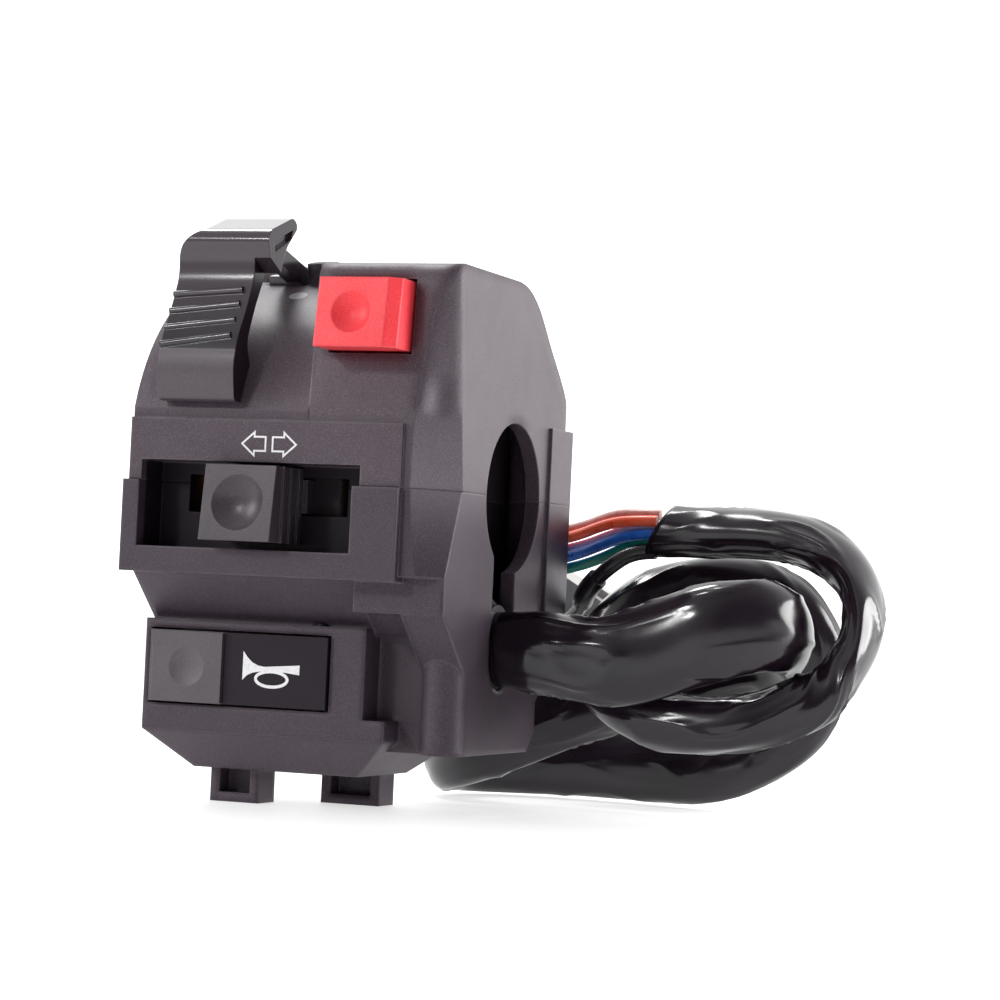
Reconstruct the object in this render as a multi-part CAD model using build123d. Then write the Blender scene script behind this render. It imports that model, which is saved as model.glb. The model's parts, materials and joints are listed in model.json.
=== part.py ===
from build123d import *
import os
from math import atan2, cos, degrees, pi, radians, sin, sqrt, tan

# Left-hand handlebar switch cluster of a motorbike, in millimetres.
# X runs along the handlebar towards the middle of the bike, -Y faces the rider and +Z is up.
# The origin is on the handlebar's axis, half way along the housing.

# Driving dimensions of the housing
bar_diameter = 22.2
bar_room = 0.05
housing_length = 48.5
front_reach = 28.8
rear_reach = 24.5
block_top = 32.0
lower_depth = 37.5
wall = 2.2

# Gaps and the overrun of cuts, shared by the whole part
cut_over = 1.0
running_gap = 0.3
slide_gap = 0.15
pin_gap = 0.05

# Upper housing: dome, button block and the raised band below them
dome_swell = 1.2
dome_lift = 2.2
dome_back_angle = 145.0
band_top = 9.0
band_step = 0.7
band_end_inset = 6.25
block_left_inset = 21.05
block_lean = 1.6
block_corner = 2.6
block_flat_back = -2.0
block_shoulder_y = 13.6
block_shoulder_z = 23.4
rear_fall = 6.0
rear_corner = 3.5
corner_side_top = 25.5
corner_side_split = 20.2
corner_side_low = 25.9
corner_front_inset = 6.2
side_rib = 0.6
side_rib_width = 9.4
side_rib_top = 11.4
side_rib_low = 19.5

# Lower housing: band, cove, horn box, ledge, column and the tray under them
band_bottom = 13.2
lower_overhang = 0.6
cove_front = 26.0
cove_low = 20.9
cove_back = 17.2
horn_box_front = 20.8
horn_box_top = 19.9
horn_box_bottom = 36.0
horn_box_end_inset = 13.65
ledge_front = 26.0
ledge_top = 12.4
ledge_bottom = 17.6
channel_front = 15.2
column_radius = 3.2
column_top = 23.9
slope_foot = 27.3
back_step = 13.4
back_step_level = 30.0
back_slope_level = 21.0
under_chamfer = 3.0
tray_drop = 4.0
tray_left_inset = 5.6
tray_right_inset = 10.25
tray_back = 11.0
tray_chamfer = 6.5

# Plates inside both halves that carry the bar
rib_height = 15.2
rib_thickness = 1.8
rib_right_inset = 10.85
rib_left_inset = 6.85
rib_front = 13.2
rib_lip = 0.9

# Turn signal window and the switch behind it
window_left_inset = 1.95
window_right_inset = 12.35
window_top = 2.95
window_bottom = 9.5
window_step = 0.9
recess_wall = 2.0
stem_slot_inset = 4.6
stem_slot_bottom = 4.2
stem_slot_top = 1.2
turn_travel = 6.0
knob_width = 11.0
knob_top = 2.4
knob_bottom = 8.4
knob_reach = 4.2
knob_lean = 1.5
knob_dimple = 4.0
knob_dimple_depth = 1.6
knob_ribs = 3
knob_rib_depth = 0.35
carriage_depth = 3.2
carriage_side = 4.2
carriage_rise = 1.2
turn_base_depth = 2.0
turn_base_room = 2.45
turn_ear = 3.2
turn_ear_height = 2.4
contact_thickness = 0.4
contact_gap = 0.25
contact_half_span = 3.6
wiper_half = 1.2
ball_radius = 1.2
detent_bore = 5.0
detent_wire = 0.3
rail_groove = 0.25
rail_notch = 0.55
rivet_radius = 1.3
terminal_radius = 0.8
terminal_tail = 1.2

# Stop button and the switch behind it
stop_inset = 12.4
stop_width = 12.0
stop_low = 19.2
stop_height = 9.9
stop_reach = 7.1
stop_lean = 1.5
stop_chamfer = 1.5
stop_dimple = 3.0
stop_dimple_depth = 1.2
stop_gap = 0.4
stop_travel = 2.5
stop_flange = 1.3
stop_flange_depth = 1.2
stop_base_depth = 3.2
stop_spring_radius = 2.5
stop_spring_bore = 6.0
stop_bridge_half = 4.0
stop_post_inset = 4.85
stop_ear_height = 2.2
spring_wire = 0.45
spring_turns = 6

# Horn button and the switch behind it
horn_left_inset = 1.05
horn_right_inset = 19.25
horn_low = 31.9
horn_high = 21.5
horn_proud = 0.5
horn_pad_inset = 0.6
horn_pad_width = 11.2
horn_pad_proud = 0.6
horn_plate = 1.8
horn_gap = 0.3
horn_skirt = 1.4
horn_pin_inset = 2.2
horn_pin_radius = 0.9
horn_pin_bury = 1.6
horn_dimple = 2.8
horn_dimple_depth = 0.6
horn_base_depth = 2.4
horn_base_width = 15.8
horn_spring_radius = 2.2
horn_spring_inset = 6.2
horn_strip_inset = 9.7
horn_strip_width = 7.0
horn_strip_half = 1.6
horn_plunger_radius = 1.5
horn_plunger = 1.0
horn_ear = 4.2

# Choke lever
lever_inset = 4.85
lever_width = 12.0
lip_overhang = 2.4
lever_gap = 0.4
lever_arc_angle = 12.0
shoe_thickness = 2.0
shoe_gap = 0.2
shoe_start_angle = 38.0
shoe_end_angle = 113.0
track_width = 1.8
track_ledge = 2.0
track_start_room = 4.0
arm_inset = 6.0
arm_width = 5.4
arm_start_angle = 75.0
arm_end_angle = 89.0
arm_flare = 0.9
arm_neck = 2.6
slot_gap = 0.5
slot_end_angle = 119.5
slot_guard = 3.2
guard_width = 2.3
ridge_radius = 0.5
ridge_inset = 1.2
lever_corner = 4.2
cap_slot_depth = 0.6

# The lever's outline up the thumb face, over the lip and down its back. Each point has a height over the dome
# and an angle up from the front, about the lever's axis.
pad_outer_lifts = [2.46, 5.03, 6.01, 6.5, 8.19, 10.36, 12.92]
pad_outer_angles = [16.8, 24.3, 31.2, 39.6, 46.7, 49.6, 50.8]
lip_outer_lifts = [13.6, 11.93, 10.07]
lip_outer_angles = [52.9, 63.8, 65.1]
pad_inner_lifts = [8.76, 6.56, 4.67, 3.12]
pad_inner_angles = [57.2, 52.4, 42.6, 33.3]
cap_slot_lifts = [11.8, 10.19, 9.29, 10.37]
cap_slot_angles = [52.7, 52.2, 60.8, 62.5]
ridge_left_lifts = [5.72, 6.01, 6.43, 7.22]
ridge_left_angles = [29.4, 33.9, 38.4, 42.6]
ridge_right_lifts = [5.98, 6.15, 6.7, 7.55]
ridge_right_angles = [32.0, 36.3, 40.5, 43.8]

# Cable adjuster of the choke
tower_inset = 1.25
tower_width = 8.8
tower_front = 6.0
tower_back = 17.0
tower_rise = 4.1
adjuster_drop = 0.1
adjuster_radius = 5.0
adjuster_length = 6.0
adjuster_knurls = 20
knurl_radius = 0.45
adjuster_stem_radius = 2.5
adjuster_bore = 1.2
adjuster_seat = 7.0
locknut_radius = 4.2
locknut_thickness = 2.2

# Screws and lugs
screw_radius = 1.5
screw_head_radius = 2.2
screw_head_height = 2.0
screw_room = 0.2
front_screw_seat = 27.0
front_screw_length = 36.0
rear_screw_seat = 18.0
rear_screw_length = 25.0
front_screw_inset = 3.2
front_screw_y = -15.8
rear_screw_inset = 4.2
rear_screw_y = 18.3
boss_height = 13.5
small_screw_radius = 0.75
small_screw_head = 1.3
small_screw_height = 0.9
small_screw_bite = 1.8
drive_share = 0.62
lug_reach = 46.5
lug_left_inset = 11.25
lug_left_width = 7.8
lug_left_front = -12.0
lug_right_inset = 23.85
lug_right_width = 9.4
lug_right_front = 0.0
lug_depth = 5.6
lug_wall = 1.4
lug_recess = 3.4

# Harness outlet, the wires inside and the loom outside
outlet_y = -2.4
outlet_z = -22.0
outlet_width = 9.8
outlet_height = 12.6
outlet_notch_width = 9.0
outlet_rib_inset = 5.25
outlet_rib_thickness = 1.4
outlet_rib_back = 0.6
outlet_inset = 0.6
grommet_flange = 1.0
grommet_flange_depth = 1.4
loom_diameter = 8.8
inner_wire = 1.6
inner_spread = 3.6
wire_lead = 3.0
horn_wire_far = 14.0
horn_wire_near = 4.0
horn_wire_side = 1.0
horn_wire_dip = 0.9
turn_wire_far = 8.2
turn_wire_near = 1.2
turn_wire_side = 6.0
turn_wire_rise = 2.6
turn_wire_lean = 0.8
turn_wire_room = 6.0
stop_wire_far = 4.05
stop_wire_side = 6.5
stop_wire_rise = 2.0
stop_wire_room = 1.0
stop_wire_climb = 7.0
stop_wire_bends = [(-10.8, 14.0), (-9.0, 19.0)]
thin_wire = 1.5
bend_share = 0.45

# The loom's route: out of the housing, then the coil that it is folded into
lead_route = [(23.65, -2.4, -22.0), (32.5, -2.4, -22.0), (42.0, -3.2, -22.6), (50.4, -3.0, -19.8)]
coil_route = [(50.4, -3.0, -19.8), (58.304, -2.812, -17.165), (64.5, 3.1, -17.1), (64.7, 11.8, -18.9),
              (59.2, 17.4, -22.4), (49.6, 20.8, -24.8), (39.0, 23.6, -27.6), (28.0, 26.0, -31.0),
              (17.5, 26.8, -35.2), (8.3, 27.3, -38.6), (1.4, 33.3, -40.2), (1.4, 42.7, -40.5),
              (8.6, 48.8, -40.6), (20.0, 49.6, -40.4), (32.0, 47.6, -40.6), (43.0, 44.6, -40.2),
              (53.0, 41.0, -36.2), (60.0, 37.6, -29.0), (62.0, 35.2, -20.6), (58.6, 33.4, -13.2),
              (50.8, 31.4, -10.0), (42.4, 28.6, -10.8), (35.8, 23.6, -15.2), (33.0, 16.0, -21.0),
              (36.0, 8.2, -27.0), (44.4, 3.6, -31.0), (54.5, 2.2, -32.6), (64.8, 3.6, -30.4),
              (72.0, 7.8, -25.2), (75.2, 12.8, -17.2), (72.8, 16.8, -9.2), (66.0, 18.8, -4.4),
              (57.0, 20.0, -3.2), (48.6, 20.8, -3.4), (40.2, 20.8, -3.4)]

# Five thin wires leave the loom and turn back into the connector, side by side along this line
bundle_route = [(40.2, 20.8, -2.9), (36.4, 20.8, -2.9), (31.6, 23.4, -4.0), (24.6, 27.8, -6.2), (15.6, 30.2, -7.8),
                (8.0, 30.0, -6.6), (0.6, 30.0, -4.8), (-5.0, 33.4, -3.4), (-4.6, 39.4, -3.4),
                (0.4, 42.2, -5.2), (6.5, 42.0, -8.65), (13.0, 42.0, -12.4)]
wire_side = 1.0
wire_fan_start = 1.0
wire_fan = 1.5
wire_order = ["wire_pink", "wire_red", "wire_lilac", "wire_blue", "wire_green"]

# The sleeved black wire below them
black_wire = 2.2
black_route = [(40.2, 20.1, -6.5), (36.8, 20.1, -6.5), (33.2, 18.6, -9.2), (29.4, 20.2, -12.6),
               (25.8, 27.0, -16.4), (19.4, 31.2, -19.4), (12.4, 32.4, -21.2)]
black_sleeve = 3.2

# White connector at the end of the thin wires
connector_slope = 30.0
connector_length = 15.0
connector_width = 8.4
connector_height = 9.4
connector_latch = 1.2
connector_latch_length = 5.0
cavity_size = 2.2
cavity_depth = 9.0
cavity_pitch_side = 3.2
cavity_pitch_rise = 2.9
cavity_rows = 3
pin_radius = 0.85
pin_bore = 0.45
pin_length = 6.5

# Places worked out from the sizes above
bore_radius = bar_diameter / 2 + bar_room
half_length = housing_length / 2
inner_end = half_length - wall
dome_foot = front_reach - band_step
dome_radius = dome_foot + dome_swell
dome_top = dome_lift + dome_radius
band_end = half_length - band_end_inset
block_left = half_length - block_left_inset
horn_box_end = half_length - horn_box_end_inset
tray_right = half_length - tray_right_inset
rib_right_x = half_length - rib_right_inset
rib_left_x = -half_length + rib_left_inset
lug_left_x = -half_length + lug_left_inset
lug_right_x = half_length - lug_right_inset
outlet_rib_x = half_length - outlet_rib_inset
window_left = -half_length + window_left_inset
window_right = half_length - window_right_inset
window_centre = (window_left + window_right) / 2
front_screw_x = half_length - front_screw_inset
rear_screw_x = half_length - rear_screw_inset
tower_left = -half_length + tower_inset
tower_right = tower_left + tower_width
tower_middle = (tower_left + tower_right) / 2
tower_top = dome_top + tower_rise
adjuster_height = dome_top - adjuster_drop
front_floor = -(ledge_top - wall)
horn_floor = -(horn_box_bottom - wall)

turn_base_back = -(bore_radius + turn_base_room)
turn_base_front = turn_base_back - turn_base_depth
carriage_back = turn_base_front - 2 * contact_thickness - contact_gap
carriage_front = carriage_back - carriage_depth
carriage_low = -knob_bottom + carriage_rise
carriage_middle = (carriage_front + carriage_back) / 2
recess_back = carriage_front - slide_gap
recess_floor = recess_back - recess_wall
stem_slot_half = (window_right - window_left) / 2 - stem_slot_inset
stem_half = stem_slot_half - turn_travel - running_gap
knob_front = -(front_reach + knob_reach)
knob_middle = (knob_top - knob_bottom) / 2
turn_base_half = stem_half + carriage_side + turn_travel

stop_face = -(dome_foot - block_lean) - stop_reach
stop_wall_back = -(dome_foot - block_lean) + wall + block_lean / 2
stop_high = stop_low + stop_height
stop_middle = stop_low + stop_height / 2
stop_base_low = stop_low - stop_flange
stop_centre = half_length - stop_inset
stop_post_left = half_length - stop_post_inset
stop_left = stop_centre - stop_width / 2
stop_right = stop_centre + stop_width / 2
stop_flange_front = stop_wall_back + pin_gap
stop_back = stop_flange_front + stop_flange_depth
stop_bridge_back = stop_back + contact_thickness
stop_base_front = stop_bridge_back + stop_travel + contact_thickness + running_gap
stop_base_back = stop_base_front + stop_base_depth

horn_left = -half_length + horn_left_inset
horn_right = half_length - horn_right_inset
horn_middle = -(horn_low + horn_high) / 2
horn_front = -(horn_box_front + horn_proud)
horn_back = horn_front + horn_plate
horn_pin_x = horn_right - horn_pin_inset
horn_pin_y = horn_back + horn_pin_radius
horn_base_back = -(channel_front - wall)
horn_base_front = horn_base_back - horn_base_depth
horn_base_left = -inner_end + slide_gap
horn_ear_height = -horn_low - running_gap - horn_floor
horn_plunger_x = horn_left + horn_strip_inset + horn_strip_width / 2

lever_left = -half_length + lever_inset
lever_right = lever_left + lever_width
lip_right = lever_right + lip_overhang
arm_left = lever_left + arm_inset
arm_right = arm_left + arm_width
shoe_outer = dome_radius - wall - shoe_gap
shoe_inner = shoe_outer - shoe_thickness


def box(x0, x1, y0, y1, z0, z1):
    size = (abs(x1 - x0), abs(y1 - y0), abs(z1 - z0))
    return Pos((x0 + x1) / 2, (y0 + y1) / 2, (z0 + z1) / 2) * Box(*size)


def rod_x(y, z, radius, x0, x1):
    return Pos((x0 + x1) / 2, y, z) * Rot(0, 90, 0) * Cylinder(radius, abs(x1 - x0))


def rod_y(x, z, radius, y0, y1):
    return Pos(x, (y0 + y1) / 2, z) * Rot(90, 0, 0) * Cylinder(radius, abs(y1 - y0))


def rod_z(x, y, radius, z0, z1):
    return Pos(x, y, (z0 + z1) / 2) * Cylinder(radius, abs(z1 - z0))


def polygon(points):
    return Polyline(*points, close=True)


def along_x(edges, x0, x1):
    """An outline drawn in (y, z), pulled along X from x0 to x1."""
    face = Pos(min(x0, x1), 0, 0) * (Plane.YZ * make_face(edges))
    return extrude(face, abs(x1 - x0), dir=(1, 0, 0))


def flat(points, level):
    """A polygon drawn in (x, y) at a height."""
    return Pos(0, 0, level) * make_face(polygon(points))


def dome_point(radius, angle):
    """A point (y, z) at a radius and an angle in degrees up from the front, about the lever's axis."""
    turn = radians(angle)
    return (-radius * cos(turn), dome_lift + radius * sin(turn))


def dome_angle(point):
    """The angle in degrees up from the front of a point (y, z), about the lever's axis."""
    return degrees(atan2(point[1] - dome_lift, -point[0]))


def over_dome(lifts, angles):
    """Points (y, z) at heights over the dome and angles in degrees up from the front."""
    return [dome_point(dome_radius + lift, angle) for lift, angle in zip(lifts, angles)]


def ring_sector(inner, outer, start, end, x0, x1):
    """A piece of a ring about the lever's axis, between two angles from the front."""
    middle = (start + end) / 2
    rim = ThreePointArc(dome_point(outer, start), dome_point(outer, middle), dome_point(outer, end))
    root = ThreePointArc(dome_point(inner, end), dome_point(inner, middle), dome_point(inner, start))
    edges = [rim, Line(rim @ 1, root @ 0), root, Line(root @ 1, rim @ 0)]
    return along_x(edges, x0, x1)


def coil_spring(length, radius, wire_size, turns):
    """A helical spring on the Z axis that stands on z = 0."""
    pitch = (length - wire_size) / turns
    path = Pos(0, 0, wire_size / 2) * Helix(pitch, pitch * turns, radius)
    profile = Plane(origin=path @ 0, z_dir=path % 0) * Circle(wire_size / 2)
    return sweep(profile, path, is_frenet=True)


def screw(x, y, seat, length, radius, head, height, way):
    """A pan-head screw along Z; way is 1 when it points up and -1 when it points down."""
    shank = rod_z(x, y, radius, seat - way * height / 2, seat + way * length)
    cap = rod_z(x, y, head, seat - way * height, seat)
    half = head * drive_share
    slot = half / 4
    deep = seat - way * height / 2
    far = seat - way * (height + cut_over)
    drive = box(x - half, x + half, y - slot, y + slot, deep, far)
    drive = drive + box(x - slot, x + slot, y - half, y + half, deep, far)
    return shank + cap - drive


def dimple(x, z, radius, depth, front, lean):
    """The ball that presses a shallow round hollow into a front face that leans back."""
    ball = (radius**2 + depth**2) / (2 * depth)
    return Pos(x, front - (ball - depth) * cos(lean), z + (ball - depth) * sin(lean)) * Sphere(ball)


def rivet(x, z, front, back):
    """A contact rivet: a low head in front, a shank through the base and a tail behind it."""
    head = rod_y(x, z, rivet_radius, front - contact_thickness, front)
    return head + rod_y(x, z, terminal_radius, front - contact_thickness / 2, back + terminal_tail)


def bend_radius(before, corner, after):
    """The radius that uses up a share of the shorter run on each side of a corner."""
    first, second = Vector(*corner) - Vector(*before), Vector(*after) - Vector(*corner)
    return bend_share * min(first.length, second.length) / tan(radians(first.get_angle(second)) / 2)


def rounded_line(points):
    """A line through the points with every corner rounded, and the radii of its corners."""
    radii = [bend_radius(*points[index - 1:index + 2]) for index in range(1, len(points) - 1)]
    return FilletPolyline(*points, radius=radii), radii


def wire(points, diameter):
    """A round wire through the points."""
    path, radii = rounded_line(points)
    profile = Plane(origin=path @ 0, z_dir=path % 0) * Circle(diameter / 2)
    tube = sweep(profile, path)
    volume = pi * diameter**2 / 4 * path.length
    print(f"  tube {diameter} mm, length {path.length:.1f} mm, least radius {min(radii):.1f} mm, "
          f"radii {[round(radius, 1) for radius in radii]}, volume {tube.volume:.0f} of {volume:.0f} mm3")
    return tube


def save(node, shape):
    """Writes one node, as a single shape with all its solids."""
    solids = shape.solids()
    body = solids[0] if len(solids) == 1 else Compound(solids)
    export_step(body, f"parts/{node}.step")
    volume = sum(solid.volume for solid in solids)
    print(f"{node}: {len(solids)} solid(s), {volume:.1f} mm3")


# Outlines of the housing

def dome_edges(inset):
    """The dome's outline over the split, set in by a wall: an upright foot, a round top and a steep back."""
    radius = dome_radius - inset
    foot = dome_foot - inset
    back = rear_reach - inset
    foot_level = dome_lift + sqrt(radius**2 - foot**2)
    start = dome_angle((-foot, foot_level))
    top = ThreePointArc((-foot, foot_level), dome_point(radius, (start + dome_back_angle) / 2),
                        dome_point(radius, dome_back_angle))
    fall = Line(top @ 1, (back, rear_fall))
    front = Line((-foot, 0), (-foot, foot_level))
    return [front, top, fall, Line(fall @ 1, (back, 0)), Line((back, 0), (-foot, 0))]


def block_edges(inset):
    """The button block's outline over the split: a leaning front, a flat top and a long round back."""
    foot = dome_foot - inset
    head = foot - block_lean
    top = block_top - inset
    back = rear_reach - inset
    shoulder = (block_shoulder_y - inset, block_shoulder_z - inset)
    front = Line((-foot, 0), (-foot, band_top))
    face = Line(front @ 1, (-head, top - block_corner))
    corner = TangentArc(face @ 1, (-head + block_corner, top), tangent=face % 1)
    roof = Line(corner @ 1, (block_flat_back, top))
    fall = Spline(roof @ 1, shoulder, (back, rear_fall), tangents=((1, 0), (0, -1)))
    return [front, face, corner, roof, fall, Line(fall @ 1, (back, 0)), Line((back, 0), (-foot, 0))]


def corner_cut(side_low, side_high, low, high):
    """The wedge that bevels the upright edge between the front and the right end."""
    reach = front_reach + cut_over
    inner, outer = half_length - corner_front_inset, half_length + cut_over

    def section(side, level):
        slope = (reach - side) / corner_front_inset
        return flat([(inner, -reach), (outer, -side + slope * cut_over), (outer, -2 * reach), (inner, -2 * reach)],
                    level)

    return loft([section(side_low, low), section(side_high, high)], ruled=True)


def plan_limit(left, low, high):
    """The upright block that rounds the two rear corners of the housing."""
    plan = RectangleRounded(half_length - left, 4 * rear_reach, rear_corner)
    return extrude(Pos((half_length + left) / 2, -rear_reach, low) * plan, high - low, dir=(0, 0, 1))


def lower_core(inset):
    """The lower half's plain body, set in by a wall: band back, cove, channel front, underside, stepped back."""
    foot = dome_foot - wall - inset
    front = channel_front - inset
    points = [(-foot, 0), (-foot, -(ledge_top - inset)), (-(cove_back - inset), -(cove_low - inset)),
              (-front, -(cove_low - inset)), (-front, -(lower_depth - inset)),
              (back_step - under_chamfer - inset, -(lower_depth - inset)),
              (back_step - inset, -(lower_depth - under_chamfer - inset)),
              (back_step - inset, -(back_step_level - inset)),
              (rear_reach - inset, -(back_slope_level - inset)), (rear_reach - inset, 0)]
    return along_x(polygon(points), -half_length + inset, half_length - inset)


def side_rib_piece(low, high):
    back = rear_reach - cut_over
    return box(half_length - cut_over, half_length + side_rib, back - side_rib_width, back, low, high)


def front_apron(low, high):
    """The part of the front that stays solid round the turn signal window."""
    return box(-half_length, half_length, -front_reach, recess_back, low, high)


def bar_ribs(way):
    """Two plates inside a half that carry the bar; way is 1 in the upper half and -1 in the lower."""
    rear = rear_reach - wall / 2
    level = way * rib_height
    right = box(rib_right_x, rib_right_x + rib_thickness, -rib_front, rear, 0, level)
    left = box(rib_left_x - rib_thickness, rib_left_x, bore_radius - rib_lip, rear, 0, level)
    if way < 0:
        return (right + left) & lower_core(wall / 2)
    dome = along_x(dome_edges(wall / 2), -half_length, block_left)
    return (right + left) & (dome + along_x(block_edges(wall / 2), block_left, half_length))


def stem_slot(low, high):
    return box(window_centre - stem_slot_half, window_centre + stem_slot_half, recess_floor - cut_over,
               recess_back + cut_over, low, high)


# Upper housing

def lever_tracks():
    """Two curved rails under the dome. The lever's shoe slides between them and the dome."""
    roof = dome_radius - wall / 2
    ledge = shoe_inner - slide_gap
    inner = ledge - track_ledge
    left = arm_left - slot_gap - track_width
    right = lever_right + track_width
    start, end = shoe_start_angle + track_start_room, dome_back_angle
    rails = ring_sector(inner, roof, start, end, left - track_width, left)
    rails = rails + ring_sector(inner, roof, start, end, right, right + track_width)
    rails = rails + ring_sector(inner, ledge, start, end, left - track_width, left + track_width / 2)
    rails = rails + ring_sector(inner, ledge, start, end, right - track_width / 2, right + track_width)
    return rails & along_x(dome_edges(wall / 2), -half_length, half_length)


def lever_slot():
    return ring_sector(dome_radius - 2 * wall, dome_radius + cut_over, arm_start_angle - slot_gap, slot_end_angle,
                       arm_left - slot_gap, lever_right)


def slot_guard_piece():
    """The raised fence on the right of the lever's slot."""
    left = lever_right + lever_gap
    return ring_sector(dome_radius - wall / 2, dome_radius + slot_guard, arm_start_angle, slot_end_angle, left,
                       left + guard_width)


def cable_tower():
    width = tower_right - tower_left
    shaft = Pos(tower_middle, tower_top / 2) * RectangleRounded(width, tower_top, width / 3)
    body = Rot(90, 0, 0) * extrude(shaft, tower_back - tower_front, dir=(0, 0, 1))
    return Pos(0, tower_back, 0) * body & box(tower_left, tower_right, tower_front, tower_back,
                                              dome_radius / 2, tower_top)


def adjuster_hole():
    front, back = tower_front - cut_over, tower_back + cut_over
    hole = rod_y(tower_middle, adjuster_height, adjuster_bore, front, back)
    return hole + rod_y(tower_middle, adjuster_height, adjuster_stem_radius, tower_back - adjuster_seat, back)


def stop_pocket():
    return box(stop_left - stop_gap, stop_right + stop_gap, -front_reach - cut_over, stop_wall_back + cut_over,
               stop_low - stop_gap, stop_high + stop_gap)


def stop_post():
    """The post on the right wall that the stop switch's base is screwed to."""
    return box(stop_post_left, half_length - wall / 2, stop_base_front, stop_base_back,
               stop_base_low + stop_ear_height, block_top - wall / 2)


def upper_housing():
    dome = along_x(dome_edges(0), -half_length, block_left)
    block = along_x(block_edges(0), block_left, half_length)
    top = block_top + cut_over
    shell = (dome + block) & plan_limit(-half_length, 0, top)
    shell = shell - corner_cut(corner_side_split, corner_side_top, 0, top)
    outer = shell
    band = box(-half_length, band_end, -front_reach, -front_reach + wall, 0, band_top)
    shell = shell + band + side_rib_piece(0, side_rib_top) + cable_tower() + slot_guard_piece()

    step = block_left - wall
    hollow = along_x(dome_edges(wall), -inner_end, step)
    hollow = hollow + (along_x(dome_edges(wall), step, step + 2 * wall)
                       & along_x(block_edges(wall), step, step + 2 * wall))
    hollow = hollow + along_x(block_edges(wall), step + 2 * wall, inner_end)
    hollow = hollow & box(-inner_end, inner_end, -front_reach, rear_reach - wall, 0, top)
    hollow = hollow - front_apron(0, window_top + recess_wall)
    hollow = hollow - corner_cut(corner_side_split - wall, corner_side_top - wall, 0, top)
    stop_wall = box(block_left, half_length, -front_reach, stop_wall_back, stop_base_low - wall, top)
    shell = shell - (hollow - stop_wall)

    inside = rod_z(front_screw_x, front_screw_y, column_radius, 0, boss_height)
    inside = inside + rod_z(rear_screw_x, rear_screw_y, column_radius, 0, boss_height)
    shell = shell + (inside & outer) + bar_ribs(1) + lever_tracks() + stop_post()

    shell = shell - rod_x(0, 0, bore_radius, -housing_length, housing_length)
    shell = shell - box(window_left, window_right, -front_reach - cut_over, recess_floor, -cut_over, window_top)
    shell = shell - stem_slot(-cut_over, stem_slot_top) - lever_slot() - stop_pocket() - adjuster_hole()
    pilot = screw_radius + pin_gap
    front_end = front_screw_length - front_screw_seat + running_gap
    rear_end = rear_screw_length - rear_screw_seat + running_gap
    shell = shell - rod_z(front_screw_x, front_screw_y, pilot, -cut_over, front_end)
    shell = shell - rod_z(rear_screw_x, rear_screw_y, pilot, -cut_over, rear_end)
    return shell - stop_screw_hole()


# Lower housing

def tray(inset):
    """The shallow tray under the horn box, with sloping sides, set in by a wall."""
    left, right = -half_length + inset, tray_right - inset
    near, far = -horn_box_front + inset, tray_back - inset
    top = -(horn_box_bottom - under_chamfer)
    bottom = -(lower_depth + tray_drop - inset)
    rim = -horn_box_bottom + inset / 2
    upper = [(left, near), (right, near), (right, far), (left, far)]
    left, right = left + tray_left_inset, right - tray_chamfer
    near, far = near + tray_chamfer, far - tray_chamfer
    lower = [(left, near), (right, near), (right, far), (left, far)]
    slope = loft([flat(upper, rim), flat(lower, bottom)], ruled=True)
    return slope + extrude(flat(upper, rim), top - rim, dir=(0, 0, 1))


def lug(x, width, front):
    half = width / 2
    inner = half - lug_wall
    body = box(x - half, x + half, front, front + lug_depth, -lug_reach, -lower_depth)
    return body - box(x - inner, x + inner, front - cut_over, front + lug_recess, -lug_reach + lug_wall,
                      -(lower_depth + tray_drop))


def lower_outer():
    left = -half_length - lower_overhang
    root = -channel_front + wall
    body = lower_core(0)
    body = body + box(left, band_end, -front_reach - lower_overhang, root, -band_bottom, 0)
    body = body + box(-half_length, half_length, -dome_foot, root, -ledge_top, 0)
    body = body + along_x(polygon([(-cove_front, -band_bottom), (-cove_back, -cove_low), (root, -cove_low),
                                   (root, -band_bottom)]), -half_length, horn_box_end)
    body = body + box(horn_box_end, half_length, -ledge_front, root, -ledge_bottom, -ledge_top)
    body = body + along_x(polygon([(-ledge_front, -ledge_bottom), (-channel_front, -slope_foot),
                                   (root, -slope_foot), (root, -ledge_bottom)]),
                          front_screw_x - column_radius, half_length)
    body = body + box(-half_length, horn_box_end, -horn_box_front, root, -horn_box_bottom, -horn_box_top)
    body = body + tray(0)
    body = body & plan_limit(left, -lug_reach, cut_over)
    body = body - corner_cut(corner_side_low, corner_side_split, -ledge_top, cut_over)
    return body + rod_z(front_screw_x, front_screw_y, column_radius, -lower_depth, -column_top)


def outlet_rib():
    """The short upright rib that shows through the notch between the bore and the outlet."""
    front = outlet_y - outlet_notch_width / 2 - wall
    low = outlet_z + outlet_height / 2
    plate = box(outlet_rib_x, outlet_rib_x + outlet_rib_thickness, front, outlet_rib_back, low, 0)
    foot = box(outlet_rib_x, half_length - wall / 2, front, front + outlet_rib_thickness, low, 0)
    return plate + foot


def outlet_slot(x0, x1, grow):
    """An upright rounded slot through the right end, for the harness."""
    radius = outlet_width / 2 + grow
    reach = (outlet_height - outlet_width) / 2
    top = rod_x(outlet_y, outlet_z + reach, radius, x0, x1)
    bottom = rod_x(outlet_y, outlet_z - reach, radius, x0, x1)
    return top + bottom + box(x0, x1, outlet_y - radius, outlet_y + radius, outlet_z - reach, outlet_z + reach)


def outlet_cut():
    notch = box(inner_end - cut_over, half_length + cut_over, outlet_y - outlet_notch_width / 2,
                outlet_y + outlet_notch_width / 2, outlet_z + outlet_height / 2 - wall / 2, 0)
    return outlet_slot(inner_end - cut_over, half_length + cut_over, 0) + notch


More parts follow.
